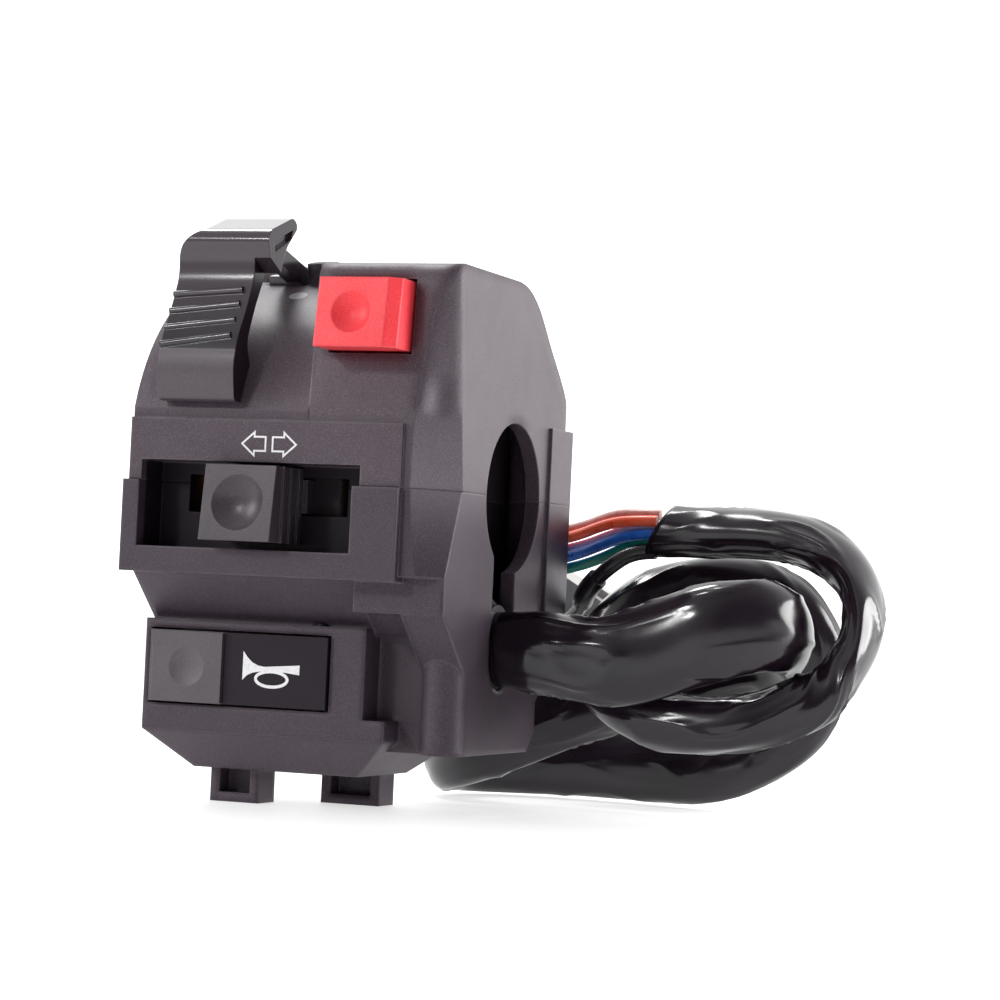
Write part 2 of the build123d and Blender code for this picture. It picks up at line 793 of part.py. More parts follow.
def horn_opening():
    low, high = -horn_low - horn_gap, -horn_high + horn_gap
    opening = box(horn_left - horn_gap, horn_right + horn_gap, -horn_box_front - cut_over, horn_base_back, low, high)
    return opening + rod_z(horn_pin_x, horn_pin_y, horn_pin_radius, low - horn_pin_bury, high + horn_pin_bury)


def lower_hollow():
    """The hollow behind the band, behind the cove, inside the horn box and in the tray."""
    root = -channel_front + 2 * wall
    hollow = lower_core(wall) + box(-inner_end, inner_end, recess_back, root, front_floor, cut_over)
    hollow = hollow - front_apron(-(window_bottom + recess_wall), cut_over)
    hollow = hollow + box(-inner_end, horn_box_end - wall, -horn_box_front + wall, root, horn_floor,
                          -(horn_box_top + wall))
    hollow = hollow + (tray(wall) & box(-inner_end, inner_end, root, rear_reach, -lug_reach, horn_floor))
    return hollow - corner_cut(corner_side_low - wall, corner_side_split - wall, -ledge_top - wall, cut_over)


def lower_housing():
    outer = lower_outer()
    shell = outer + side_rib_piece(-side_rib_low, 0)
    shell = shell + lug(lug_left_x, lug_left_width, lug_left_front)
    shell = shell + lug(lug_right_x, lug_right_width, lug_right_front)
    shell = shell - lower_hollow()

    columns = rod_z(front_screw_x, front_screw_y, column_radius, -lower_depth, 0)
    columns = columns + rod_z(rear_screw_x, rear_screw_y, column_radius, -lower_depth, 0)
    shell = shell + (columns & outer) + bar_ribs(-1) + outlet_rib()

    shell = shell - rod_x(0, 0, bore_radius, -housing_length, housing_length)
    shell = shell - box(window_left, window_right - window_step, -front_reach - lower_overhang - cut_over,
                        recess_floor, -window_bottom, cut_over)
    shell = shell - stem_slot(-stem_slot_bottom, cut_over) - horn_opening() - outlet_cut()
    for x, y, seat in ((front_screw_x, front_screw_y, front_screw_seat), (rear_screw_x, rear_screw_y, rear_screw_seat)):
        shell = shell - rod_z(x, y, screw_radius + screw_room, -seat - cut_over, cut_over)
        shell = shell - rod_z(x, y, screw_head_radius + screw_room, -lower_depth - cut_over, -seat)
    return shell - turn_screw_holes() - horn_screw_hole()


# Stop switch

def stop_button():
    cap = along_x(polygon([(stop_back, stop_low), (stop_face, stop_low), (stop_face + stop_lean, stop_high),
                           (stop_back, stop_high)]), stop_left, stop_right)
    corner = cap.edges().filter_by(lambda edge: abs(edge.center().X - stop_right) < pin_gap
                                   and abs(edge.center().Y - stop_face - stop_lean / 2) < pin_gap)
    cap = chamfer(corner, stop_chamfer)
    lean = atan2(stop_lean, stop_height)
    cap = cap - dimple(stop_centre - stop_chamfer / 2, stop_middle, stop_dimple,
                       stop_dimple_depth, stop_face + stop_lean / 2, lean)
    flange = box(stop_left - slide_gap, stop_right + stop_flange, stop_flange_front, stop_back,
                 stop_base_low, stop_high)
    well = rod_y(stop_centre, stop_middle, stop_spring_radius + running_gap + spring_wire,
                 stop_back - stop_spring_bore, stop_back + cut_over)
    return cap + flange - well


def stop_contact_bridge():
    """The brass bridge across the back of the stop button."""
    strip = box(stop_left, stop_right, stop_back, stop_bridge_back, stop_middle - stop_bridge_half,
                stop_middle + stop_bridge_half)
    return strip - rod_y(stop_centre, stop_middle, stop_spring_radius + running_gap + spring_wire,
                         stop_back - cut_over, stop_bridge_back + cut_over)


def stop_button_spring():
    start = stop_back - stop_spring_bore
    spring = coil_spring(stop_base_front - start, stop_spring_radius, spring_wire, spring_turns)
    return Pos(stop_centre, start, stop_middle) * Rot(-90, 0, 0) * spring


def stop_terminal_places():
    inset = rivet_radius + running_gap
    return (stop_left + inset, stop_right - inset)


def stop_switch_base():
    base = box(stop_left, stop_right, stop_base_front, stop_base_back, stop_base_low, stop_high)
    base = base + box(stop_right, inner_end - running_gap, stop_base_front, stop_base_back, stop_base_low,
                      stop_base_low + stop_ear_height)
    for x in stop_terminal_places():
        base = base - rod_y(x, stop_middle, terminal_radius, stop_base_front - cut_over, stop_base_back + cut_over)
    return base - stop_screw_hole()


def stop_screw_place():
    return ((stop_post_left + inner_end) / 2, (stop_base_front + stop_base_back) / 2)


def stop_screw_hole():
    return rod_z(*stop_screw_place(), small_screw_radius + pin_gap, stop_base_low - cut_over,
                 stop_base_low + 3 * stop_ear_height + pin_gap)


def stop_base_screw():
    return screw(*stop_screw_place(), stop_base_low, 3 * stop_ear_height, small_screw_radius, small_screw_head,
                 small_screw_height, 1)


def stop_terminals():
    left, right = stop_terminal_places()
    pair = rivet(left, stop_middle, stop_base_front, stop_base_back)
    return pair + rivet(right, stop_middle, stop_base_front, stop_base_back)


# Turn signal switch

def turn_signal_knob():
    left, right = window_centre - knob_width / 2, window_centre + knob_width / 2
    back = recess_floor - slide_gap
    knob = along_x(polygon([(back, -knob_bottom), (knob_front, -knob_bottom),
                            (knob_front + knob_lean, knob_top), (back, knob_top)]), left, right)
    span = (back - knob_front - knob_lean) / (2 * knob_ribs + 1)
    for index in range(knob_ribs):
        start = knob_front + knob_lean + (2 * index + 1) * span
        for x in (left, right):
            knob = knob - box(x - knob_rib_depth, x + knob_rib_depth, start, start + span,
                              -knob_bottom - cut_over, knob_top + cut_over)
    lean = atan2(knob_lean, knob_top + knob_bottom)
    knob = knob - dimple(window_centre, knob_middle, knob_dimple, knob_dimple_depth, knob_front + knob_lean / 2,
                         lean)
    stem = box(window_centre - stem_half, window_centre + stem_half, back, carriage_front,
               -stem_slot_bottom + running_gap, stem_slot_top - running_gap)
    return knob + stem


def turn_signal_carriage():
    half = stem_half + carriage_side
    body = box(window_centre - half, window_centre + half, carriage_front, carriage_back, carriage_low,
               knob_top - slide_gap)
    return body - rod_z(window_centre, carriage_middle, ball_radius + pin_gap, carriage_low - cut_over,
                        carriage_low + detent_bore)


def turn_detent_ball():
    return Pos(window_centre, carriage_middle, carriage_low) * Sphere(ball_radius)


def turn_detent_spring():
    spring = coil_spring(detent_bore - ball_radius, ball_radius - detent_wire, detent_wire, spring_turns)
    return Pos(window_centre, carriage_middle, carriage_low + ball_radius) * spring


def turn_detent_rail():
    """The rail under the ball, with a notch at each of the three positions."""
    top = carriage_low - ball_radius - pin_gap
    reach = turn_travel + 2 * ball_radius
    rail = box(window_centre - reach, window_centre + reach, recess_back, turn_base_front, front_floor, top)
    rail = rail - rod_x(carriage_middle, carriage_low, ball_radius + rail_groove, window_centre - reach - cut_over,
                        window_centre + reach + cut_over)
    for place in (-turn_travel, 0, turn_travel):
        rail = rail - Pos(window_centre + place, carriage_middle, carriage_low) * Sphere(ball_radius + rail_notch)
    return rail


def turn_moving_contact():
    """The brass wiper on the back of the carriage."""
    return box(window_centre - contact_half_span, window_centre + contact_half_span, carriage_back,
               carriage_back + contact_thickness, knob_middle - wiper_half, knob_middle + wiper_half)


def turn_screw_places():
    reach = turn_base_half - turn_ear / 2
    y = turn_base_front + turn_ear / 2
    return ((window_centre - reach, y), (window_centre + reach, y))


def turn_screw_holes():
    left, right = turn_screw_places()
    radius = small_screw_radius + pin_gap
    low, high = front_floor - small_screw_bite, front_floor + turn_ear_height + cut_over
    return rod_z(*left, radius, low, high) + rod_z(*right, radius, low, high)


def turn_switch_base():
    base = box(window_centre - turn_base_half, window_centre + turn_base_half, turn_base_front, turn_base_back,
               front_floor, window_top + running_gap)
    head = small_screw_head + slide_gap
    for x, y in turn_screw_places():
        base = base + box(x - turn_ear / 2, x + turn_ear / 2, y - turn_ear / 2, y + turn_ear / 2, front_floor,
                          front_floor + turn_ear_height)
        base = base - box(x - head, x + head, turn_base_front - cut_over, y + head, front_floor + turn_ear_height,
                          front_floor + 2 * turn_ear_height)
    for place in (-turn_travel, 0, turn_travel):
        base = base - rod_y(window_centre + place, knob_middle, terminal_radius, turn_base_front - cut_over,
                            turn_base_back + cut_over)
    return base - turn_screw_holes()


def turn_base_screws():
    seat = front_floor + turn_ear_height
    left, right = [screw(x, y, seat, turn_ear_height + small_screw_bite - pin_gap, small_screw_radius,
                         small_screw_head, small_screw_height, -1) for x, y in turn_screw_places()]
    return left + right


def turn_terminals():
    left, middle, right = [rivet(window_centre + place, knob_middle, turn_base_front, turn_base_back)
                           for place in (-turn_travel, 0, turn_travel)]
    return left + middle + right


# Horn switch

def horn_button():
    plate = box(horn_left, horn_right, horn_front, horn_back, -horn_low, -horn_high)
    pad_left = horn_left + horn_pad_inset
    pad_front = horn_front - horn_pad_proud
    pad = box(pad_left, pad_left + horn_pad_width, pad_front, horn_back, -horn_low + slide_gap,
              -horn_high - slide_gap)
    pad = pad - dimple(pad_left + horn_pad_width / 2, horn_middle, horn_dimple, horn_dimple_depth, pad_front, 0)
    skirt = box(horn_left, horn_pin_x, horn_back, horn_back + horn_skirt, -horn_low, -horn_high)
    skirt = skirt - box(horn_left + horn_skirt, horn_pin_x + cut_over, horn_back, horn_back + horn_skirt + cut_over,
                        -horn_low + horn_skirt, -horn_high - horn_skirt)
    barrel = rod_z(horn_pin_x, horn_pin_y, horn_pin_radius + horn_plate / 2, -horn_low, -horn_high)
    plunger = rod_y(horn_plunger_x, horn_middle, horn_plunger_radius, horn_back, horn_back + horn_plunger)
    hole = rod_z(horn_pin_x, horn_pin_y, horn_pin_radius + pin_gap, -horn_low - cut_over, -horn_high + cut_over)
    return plate + pad + skirt + barrel + plunger - hole


def horn_pivot_pin():
    return rod_z(horn_pin_x, horn_pin_y, horn_pin_radius - pin_gap, -horn_low - horn_gap - horn_pin_bury,
                 -horn_high + horn_gap + horn_pin_bury)


def horn_return_spring():
    spring = coil_spring(horn_base_front - horn_back, horn_spring_radius, spring_wire, spring_turns / 2)
    return Pos(horn_left + horn_spring_inset, horn_back, horn_middle) * Rot(-90, 0, 0) * spring


def horn_ear_place():
    return (horn_base_left + horn_base_width + horn_ear / 2, horn_base_back - horn_ear / 2)


def horn_screw_hole():
    return rod_z(*horn_ear_place(), small_screw_radius + pin_gap, horn_floor - small_screw_bite,
                 horn_floor + horn_ear_height + cut_over)


def horn_terminal_levels():
    return (horn_middle - horn_spring_radius, horn_middle + horn_spring_radius)


def horn_switch_base():
    left = horn_base_left
    x, y = horn_ear_place()
    base = box(left, left + horn_base_width, horn_base_front, horn_base_back, horn_floor, -horn_high)
    base = base + box(left + horn_base_width, x + horn_ear / 2, y - horn_ear / 2, y + horn_ear / 2, horn_floor,
                      horn_floor + horn_ear_height)
    for z in horn_terminal_levels():
        base = base - rod_y(horn_plunger_x, z, terminal_radius, horn_base_front - cut_over,
                            horn_base_back + cut_over)
    return base - horn_screw_hole()


def horn_contact_strip():
    """The springy brass strip in front of the horn switch's base, stepped forward from its foot."""
    bend = horn_plunger_x - 2 * terminal_radius
    half = horn_strip_width / 2
    low, high = horn_middle - horn_strip_half, horn_middle + horn_strip_half
    front = horn_base_front - contact_thickness
    foot = box(horn_plunger_x - half, bend, front, horn_base_front, low, high)
    step = box(bend - contact_thickness, bend, front - 2 * contact_thickness, horn_base_front, low, high)
    tip = box(bend - contact_thickness, horn_plunger_x + half, front - 2 * contact_thickness,
              front - contact_thickness, low, high)
    return foot + step + tip


def horn_terminals():
    low, high = horn_terminal_levels()
    front, back = horn_base_front - contact_thickness / 2, horn_base_back + terminal_tail
    return rod_y(horn_plunger_x, low, terminal_radius, front, back) + rod_y(horn_plunger_x, high, terminal_radius,
                                                                            front, back)


def horn_base_screw():
    return screw(*horn_ear_place(), horn_floor + horn_ear_height, horn_ear_height + small_screw_bite - pin_gap,
                 small_screw_radius, small_screw_head, small_screw_height, -1)


# Choke lever and its cable adjuster

def lever_corner_cut(front, back):
    """What rounds the lip's upper left corner, along the plate between two points (y, z)."""
    lean = degrees(atan2(back[1] - front[1], back[0] - front[0]))
    reach = 2 * (back[0] - front[0])
    tool = box(-cut_over, lever_corner, -reach, reach, -lever_corner, cut_over)
    tool = tool - rod_y(lever_corner, -lever_corner, lever_corner, -reach - cut_over, reach + cut_over)
    return Pos(lever_left, *front) * Rot(lean, 0, 0) * tool


def lever_ridges():
    """Four thin ridges across the thumb face, rising a little to the right."""
    lefts = over_dome(ridge_left_lifts, ridge_left_angles)
    rights = over_dome(ridge_right_lifts, ridge_right_angles)
    ridges = []
    for left, right in zip(lefts, rights):
        line = Line((lever_left, *left), (lever_right - ridge_inset, *right))
        ridges.append(sweep(Plane(origin=line @ 0, z_dir=line % 0) * Circle(ridge_radius), line))
    return ridges


def choke_lever():
    radius = dome_radius + lever_gap
    pad_outer, pad_inner = over_dome(pad_outer_lifts, pad_outer_angles), over_dome(pad_inner_lifts, pad_inner_angles)
    lip_outer = over_dome(lip_outer_lifts, lip_outer_angles)
    foot = (-sqrt(radius**2 - (pad_outer[0][1] - dome_lift)**2), pad_outer[0][1])
    start = dome_angle(foot)
    rise = dome_point(radius, start + lever_arc_angle)
    inner = ThreePointArc(rise, dome_point(radius, start + lever_arc_angle / 2), foot)
    face, _ = rounded_line([foot, *pad_outer, *lip_outer, *pad_inner, rise])
    far, near = -2 * dome_radius, pad_inner[1]
    below = polygon([(far, pad_outer[-2][1]), pad_outer[-2], near, (0, near[1]), (0, 0), (far, 0)])
    pad = along_x([face, inner], lever_left, lip_right) - along_x(below, lever_right, lip_right + cut_over)
    slot = polygon(over_dome(cap_slot_lifts, cap_slot_angles))
    pad = pad - along_x(slot, lip_right - cap_slot_depth, lip_right + cut_over)
    pad = pad - lever_corner_cut(*lip_outer[:2])
    for ridge in lever_ridges():
        pad = pad + ridge
    shoe = ring_sector(shoe_inner, shoe_outer, shoe_start_angle, shoe_end_angle,
                       arm_left - slot_gap - track_width + slide_gap, lever_right + track_width - slide_gap)
    arm = ring_sector(shoe_inner + shoe_thickness / 2, radius + arm_flare, arm_start_angle, arm_end_angle,
                      arm_left, arm_right)
    lip_middle = ((lip_outer[-1][0] + pad_inner[0][0]) / 2, (lip_outer[-1][1] + pad_inner[0][1]) / 2)
    neck = polygon([dome_point(radius, arm_start_angle), dome_point(radius, arm_end_angle), lip_middle, pad_inner[0]])
    return pad + shoe + arm + along_x(neck, arm_right - arm_neck, arm_right)


def choke_cable_adjuster():
    """The knurled barrel that the choke cable's sheath sits in, with its threaded stem."""
    front = tower_back + locknut_thickness
    back = front + adjuster_length
    stem = rod_y(tower_middle, adjuster_height, adjuster_stem_radius - pin_gap, tower_back - adjuster_seat, front)
    head = rod_y(tower_middle, adjuster_height, adjuster_radius, front, back)
    for index in range(adjuster_knurls):
        turn = 2 * pi * index / adjuster_knurls
        x = tower_middle + adjuster_radius * cos(turn)
        z = adjuster_height + adjuster_radius * sin(turn)
        head = head - rod_y(x, z, knurl_radius, front - cut_over, back + cut_over)
    return stem + head - rod_y(tower_middle, adjuster_height, adjuster_bore, tower_back - adjuster_seat - cut_over,
                               back + cut_over)


def choke_adjuster_locknut():
    nut = extrude(RegularPolygon(locknut_radius, 6), locknut_thickness, dir=(0, 0, 1))
    nut = Pos(tower_middle, tower_back + locknut_thickness, adjuster_height) * Rot(90, 0, 0) * nut
    return nut - rod_y(tower_middle, adjuster_height, adjuster_stem_radius, tower_back - cut_over,
                       tower_back + locknut_thickness + cut_over)


# Harness outlet

def harness_grommet():
    """The rubber plug in the outlet. The loom meets its outer face and the inner wires its back."""
    body = outlet_slot(inner_end, half_length - outlet_inset, 0)
    return body + outlet_slot(inner_end - grommet_flange_depth, inner_end, grommet_flange)


def inner_wires():
    """The routes of the wires from the grommet to the three switches."""
    start = inner_end - grommet_flange_depth
    low, high = outlet_z - inner_spread, outlet_z + inner_spread
    behind = turn_base_back + inner_wire / 2 + slide_gap
    beside = (window_centre + turn_base_half + rib_right_x) / 2
    turn_x = window_centre + turn_travel
    back, forward = stop_wire_bends
    horn = [(start, outlet_y, low), (horn_plunger_x + horn_wire_far, outlet_y, low),
            (horn_plunger_x + horn_wire_near, outlet_y - horn_wire_side, low - horn_wire_dip),
            (horn_plunger_x, horn_base_back + wire_lead, horn_middle), (horn_plunger_x, horn_base_back, horn_middle)]
    turn = [(start, outlet_y, outlet_z), (turn_x + turn_wire_far, outlet_y, outlet_z),
            (turn_x + turn_wire_near, outlet_y - turn_wire_side, outlet_z + turn_wire_rise),
            (turn_x - turn_wire_lean, behind, front_floor - turn_wire_room), (turn_x, behind, front_floor),
            (turn_x, behind, knob_middle - terminal_radius - slide_gap)]
    stop = [(start, outlet_y, high), (start - stop_wire_far, outlet_y, high),
            (beside, outlet_y - stop_wire_side, high + stop_wire_rise), (beside, behind, front_floor - stop_wire_room),
            (beside, behind, stop_wire_climb), (beside, *back), ((beside + stop_centre) / 2, *forward),
            (stop_centre, stop_base_back + 2 * wire_lead, stop_middle), (stop_centre, stop_base_back, stop_middle)]
    return horn, turn, stop


# Loom, wires and connector outside

def thin_wire_route(index):
    """The route of one of the five thin wires, counted from the top of the bundle."""
    side = wire_side if index % 2 else -wire_side
    rank = (len(wire_order) - 1) / 2 - index
    last = len(bundle_route) - 1
    route = []
    for place, (x, y, z) in enumerate(bundle_route):
        first = 0 if place < 2 else min(place - 1, last - 1)
        second = 1 if place < 2 else min(place + 1, last)
        if place > last - 2:
            first = last - 1
        run = bundle_route[second][0] - bundle_route[first][0]
        rise = bundle_route[second][1] - bundle_route[first][1]
        stretch = sqrt(run**2 + rise**2)
        fan = rank * (wire_fan_start if place < 2 else wire_fan)
        lean = radians(connector_slope if place > last - 2 else 0)
        route.append((x - side * rise / stretch + fan * sin(lean), y + side * run / stretch,
                      z + fan * cos(lean)))
    return route


def loom_self_gap():
    """The least gap between two stretches of the coil that are more than three diameters apart along it."""
    path, _ = rounded_line(coil_route)
    count = int(path.length)
    points = [path @ (index / count) for index in range(count + 1)]
    reach = 3 * loom_diameter * count / path.length
    return min((points[first] - points[second]).length - loom_diameter for first in range(count)
               for second in range(first + 1, count + 1) if second - first > reach)


def black_wire_sleeve():
    """A short tube round the black wire, bent with it, from half way along one run to half way along the next."""
    before, corner, after = [Vector(*point) for point in black_route[2:5]]
    path = FilletPolyline((before + corner) / 2, corner, (corner + after) / 2, radius=bend_radius(*black_route[2:5]))
    start = Plane(origin=path @ 0, z_dir=path % 0)
    return sweep(start * (Circle(black_sleeve / 2) - Circle(black_wire / 2 + pin_gap)), path)


def at_connector(shape):
    """Moves a shape from its own frame, with the wires' face at x = 0, to the end of the wires."""
    return Pos(*bundle_route[-1]) * Rot(0, connector_slope, 0) * shape


def cavity_places():
    return [(side * cavity_pitch_side / 2, (row - (cavity_rows - 1) / 2) * cavity_pitch_rise)
            for side in (-1, 1) for row in range(cavity_rows)]


def harness_connector():
    half_width, half_height, half_cavity = connector_width / 2, connector_height / 2, cavity_size / 2
    body = box(0, connector_length, -half_width, half_width, -half_height, half_height)
    latch_end = connector_length - connector_latch
    body = body + box(latch_end - connector_latch_length, latch_end, -half_width / 3, half_width / 3,
                      half_height - connector_latch, half_height + connector_latch)
    for y, z in cavity_places():
        body = body - box(connector_length - cavity_depth, connector_length + cut_over,
                          y - half_cavity, y + half_cavity, z - half_cavity, z + half_cavity)
    return at_connector(body)


def connector_terminals():
    root = connector_length - cavity_depth
    pins = [rod_x(y, z, pin_radius, root, root + pin_length)
            - rod_x(y, z, pin_bore, root + pin_bore, root + pin_length + cut_over)
            for y, z in cavity_places()]
    return at_connector(Compound(pins))


def build_all():
    os.makedirs("parts", exist_ok=True)
    save("upper_housing", upper_housing())
    save("lower_housing", lower_housing())
    save("housing_screw_front", screw(front_screw_x, front_screw_y, -front_screw_seat, front_screw_length,
                                      screw_radius, screw_head_radius, screw_head_height, 1))
    save("housing_screw_rear", screw(rear_screw_x, rear_screw_y, -rear_screw_seat, rear_screw_length,
                                     screw_radius, screw_head_radius, screw_head_height, 1))
    save("choke_lever", choke_lever())
    save("choke_cable_adjuster", choke_cable_adjuster())
    save("choke_adjuster_locknut", choke_adjuster_locknut())
    save("stop_button", stop_button())
    save("stop_button_spring", stop_button_spring())
    save("stop_contact_bridge", stop_contact_bridge())
    save("stop_switch_base", stop_switch_base())
    save("stop_terminals", stop_terminals())
    save("stop_base_screw", stop_base_screw())
    save("turn_signal_knob", turn_signal_knob())
    save("turn_signal_carriage", turn_signal_carriage())
    save("turn_detent_ball", turn_detent_ball())
    save("turn_detent_spring", turn_detent_spring())
    save("turn_detent_rail", turn_detent_rail())
    save("turn_moving_contact", turn_moving_contact())
    save("turn_switch_base", turn_switch_base())
    save("turn_terminals", turn_terminals())
    save("turn_base_screws", turn_base_screws())
    save("horn_button", horn_button())
    save("horn_pivot_pin", horn_pivot_pin())
    save("horn_return_spring", horn_return_spring())
    save("horn_contact_strip", horn_contact_strip())
    save("horn_switch_base", horn_switch_base())
    save("horn_terminals", horn_terminals())
    save("horn_base_screw", horn_base_screw())
    save("harness_grommet", harness_grommet())
    horn, turn, stop = inner_wires()
    save("horn_wire_inner", wire(horn, inner_wire))
    save("turn_wire_inner", wire(turn, inner_wire))
    save("stop_wire_inner", wire(stop, inner_wire))
    save("harness_lead", wire(lead_route, loom_diameter))
    save("harness_coil", wire(coil_route, loom_diameter))
    print(f"  least gap of the coil to itself {loom_self_gap():.2f} mm")
    for index, node in enumerate(wire_order):
        save(node, wire(thin_wire_route(index), thin_wire))
    save("wire_black", wire(black_route, black_wire))
    save("black_wire_sleeve", black_wire_sleeve())
    save("harness_connector", harness_connector())
    save("connector_terminals", connector_terminals())


build_all()
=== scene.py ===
import json
from math import cos, pi, radians, sin, sqrt

import bmesh
import bpy
from mathutils import Matrix, Vector, noise


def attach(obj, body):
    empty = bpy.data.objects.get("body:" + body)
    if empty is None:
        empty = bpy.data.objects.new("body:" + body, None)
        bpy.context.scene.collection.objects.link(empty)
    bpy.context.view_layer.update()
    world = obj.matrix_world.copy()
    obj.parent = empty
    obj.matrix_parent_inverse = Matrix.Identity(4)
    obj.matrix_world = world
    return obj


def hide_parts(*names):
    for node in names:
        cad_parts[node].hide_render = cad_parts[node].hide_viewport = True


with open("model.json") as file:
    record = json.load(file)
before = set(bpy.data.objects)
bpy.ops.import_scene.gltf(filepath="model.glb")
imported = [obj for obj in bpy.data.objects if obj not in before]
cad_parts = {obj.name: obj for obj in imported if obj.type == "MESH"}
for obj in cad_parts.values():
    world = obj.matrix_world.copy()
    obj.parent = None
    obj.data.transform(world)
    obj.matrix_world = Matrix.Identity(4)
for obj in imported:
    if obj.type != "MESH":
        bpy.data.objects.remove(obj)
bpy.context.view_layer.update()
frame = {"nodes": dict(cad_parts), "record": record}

# Left-hand handlebar switch cluster: finishes, printed symbols, the loom's wrinkled sleeve and its wires.
# Lengths are in metres, in the frame of the CAD model.

MM = 0.001

# Sizes and places that the pieces share
FLOOR = -46.5 * MM
BAND_FRONT = -28.8 * MM
HORN_FRONT = -21.3 * MM
DOME_LIFT = 2.2 * MM
DOME_RADIUS = 29.3 * MM
WIRE_DIAMETER = 1.5 * MM
BLACK_DIAMETER = 2.2 * MM
CONNECTOR_SLOPE = radians(30)
HORN_PAD_END = -11.4 * MM
# The lever's crease above its plain block, and the heights over which painted light pales its glossy part
LEVER_CREASE, LEVER_TOP_LIGHT_START, LEVER_TOP_LIGHT_END = 18.6 * MM, 20.6 * MM, 28.6 * MM

# The knob's window: its reach along each axis, and how soon the painted shade inside it fades out past it
RECESS_REACH = {"X": (-23.0 * MM, 11.3 * MM), "Y": (-27.0 * MM, -12.0 * MM), "Z": (-9.4 * MM, 2.7 * MM)}
RECESS_FADE = 0.3 * MM

# The loom's route, then the bundle of thin wires and the black wire that leave its end
LOOM_ROUTE = [
    (0.02365, -0.0024, -0.0220), (0.0325, -0.0024, -0.0220), (0.0420, -0.0032, -0.0226),
    (0.0504, -0.0030, -0.0198), (0.058304, -0.002812, -0.017165), (0.0645, 0.0031, -0.0171),
    (0.0647, 0.0118, -0.0189), (0.0592, 0.0174, -0.0224), (0.0496, 0.0208, -0.0248),
    (0.0390, 0.0236, -0.0276), (0.0280, 0.0260, -0.0310), (0.0175, 0.0268, -0.0352),
    (0.0083, 0.0273, -0.0386), (0.0014, 0.0333, -0.0402), (0.0014, 0.0427, -0.0405),
    (0.0086, 0.0488, -0.0406), (0.0200, 0.0496, -0.0404), (0.0320, 0.0476, -0.0406),
    (0.0430, 0.0446, -0.0402), (0.0530, 0.0410, -0.0362), (0.0600, 0.0376, -0.0290),
    (0.0620, 0.0352, -0.0206), (0.0586, 0.0334, -0.0132), (0.0508, 0.0314, -0.0100),
    (0.0424, 0.0286, -0.0108), (0.0358, 0.0236, -0.0152), (0.0330, 0.0160, -0.0210),
    (0.0360, 0.0082, -0.0270), (0.0444, 0.0036, -0.0310), (0.0545, 0.0022, -0.0326),
    (0.0648, 0.0036, -0.0304), (0.0720, 0.0078, -0.0252), (0.0752, 0.0128, -0.0172),
    (0.0728, 0.0168, -0.0092), (0.0660, 0.0188, -0.0044), (0.0570, 0.0200, -0.0032),
    (0.0486, 0.0208, -0.0034), (0.0402, 0.0208, -0.0034)]
BUNDLE_ROUTE = [
    (0.0402, 0.0208, -0.0029), (0.0364, 0.0208, -0.0029), (0.0316, 0.0234, -0.0040),
    (0.0246, 0.0278, -0.0062), (0.0156, 0.0302, -0.0078), (0.0080, 0.0300, -0.0066),
    (0.0006, 0.0300, -0.0048), (-0.0050, 0.0334, -0.0034), (-0.0046, 0.0394, -0.0034),
    (0.0004, 0.0422, -0.0052), (0.0065, 0.0420, -0.00865), (0.0130, 0.0420, -0.0124)]
BLACK_ROUTE = [
    (0.0402, 0.0201, -0.0065), (0.0368, 0.0201, -0.0065), (0.0332, 0.0186, -0.0092),
    (0.0294, 0.0202, -0.0126), (0.0258, 0.0270, -0.0164), (0.0194, 0.0312, -0.0194),
    (0.0124, 0.0324, -0.0212)]

# The bundle: how far the wires stand to either side of its route, their distances from each other at the
# sleeve's mouth and past it, how much thicker they are drawn, and how many points lie on each straight end
WIRE_SIDE, WIRE_FAN_START, WIRE_FAN = 0.8 * MM, 1.0 * MM, 1.5 * MM
WIRE_SWELL = 0.1 * MM
STRAIGHT_POINTS = 2

# Camera: angles of the photograph, the object's scale in it, and a point with its place in the picture
VIEW_AZIMUTH, VIEW_ELEVATION, VIEW_ROLL = radians(20.7), radians(-1.9), radians(2.7)
PICTURE, FOCAL = 1000, 3100
PIXELS_PER_METRE = 6790
LOOK_AT, LOOK_AT_PIXEL = Vector((24.25 * MM, 0, 0)), (513.4, 499)
SENSOR = 36
NEAREST = 0.01

# The studio: its darker side and its bright backdrop, each with a direction and a strength beside the rest
FRONT_GLOW = 0.74
DARK_SIDE, DARK_GLOW = Vector((0.78, -0.62, -0.05)).normalized(), 0.15
BACKDROP, BACKDROP_GLOW = Vector((-0.30, 0.93, 0.15)).normalized(), 1.15
FLOOR_REACH, FLOOR_GLOW = 2.5, 0.62

# Lamps: name, place, diameter and power in watts. They all aim at one point.
LAMPS = (("key", (-0.30, -0.70, 0.36), 0.10, 1.5), ("top", (-0.26, 0.20, 0.62), 0.22, 2.6),
         ("fill", (-0.66, -0.36, 0.28), 0.40, 2.4), ("side", (0.70, 0.34, 0.12), 0.55, 8.0))
LAMP_AIM = Vector((0.02, 0.0, -0.01))


# Shader helpers

# The Mix node's sockets, which it tells apart only by number: share, first and second, then the result
MIX_COLOUR_SOCKETS, MIX_COLOUR_RESULT = (0, 6, 7), 2
MIX_VECTOR_SOCKETS, MIX_VECTOR_RESULT = (0, 4, 5), 1
BEVEL_SAMPLES = 8


def shader(name):
    made = bpy.data.materials.new(name)
    made.use_nodes = True
    tree = made.node_tree
    return made, tree, tree.nodes["Principled BSDF"]


def add(tree, kind, **settings):
    node = tree.nodes.new("ShaderNode" + kind)
    for key, value in settings.items():
        if hasattr(node, key):
            setattr(node, key, value)
        else:
            node.inputs[key.replace("_", " ")].default_value = value
    return node


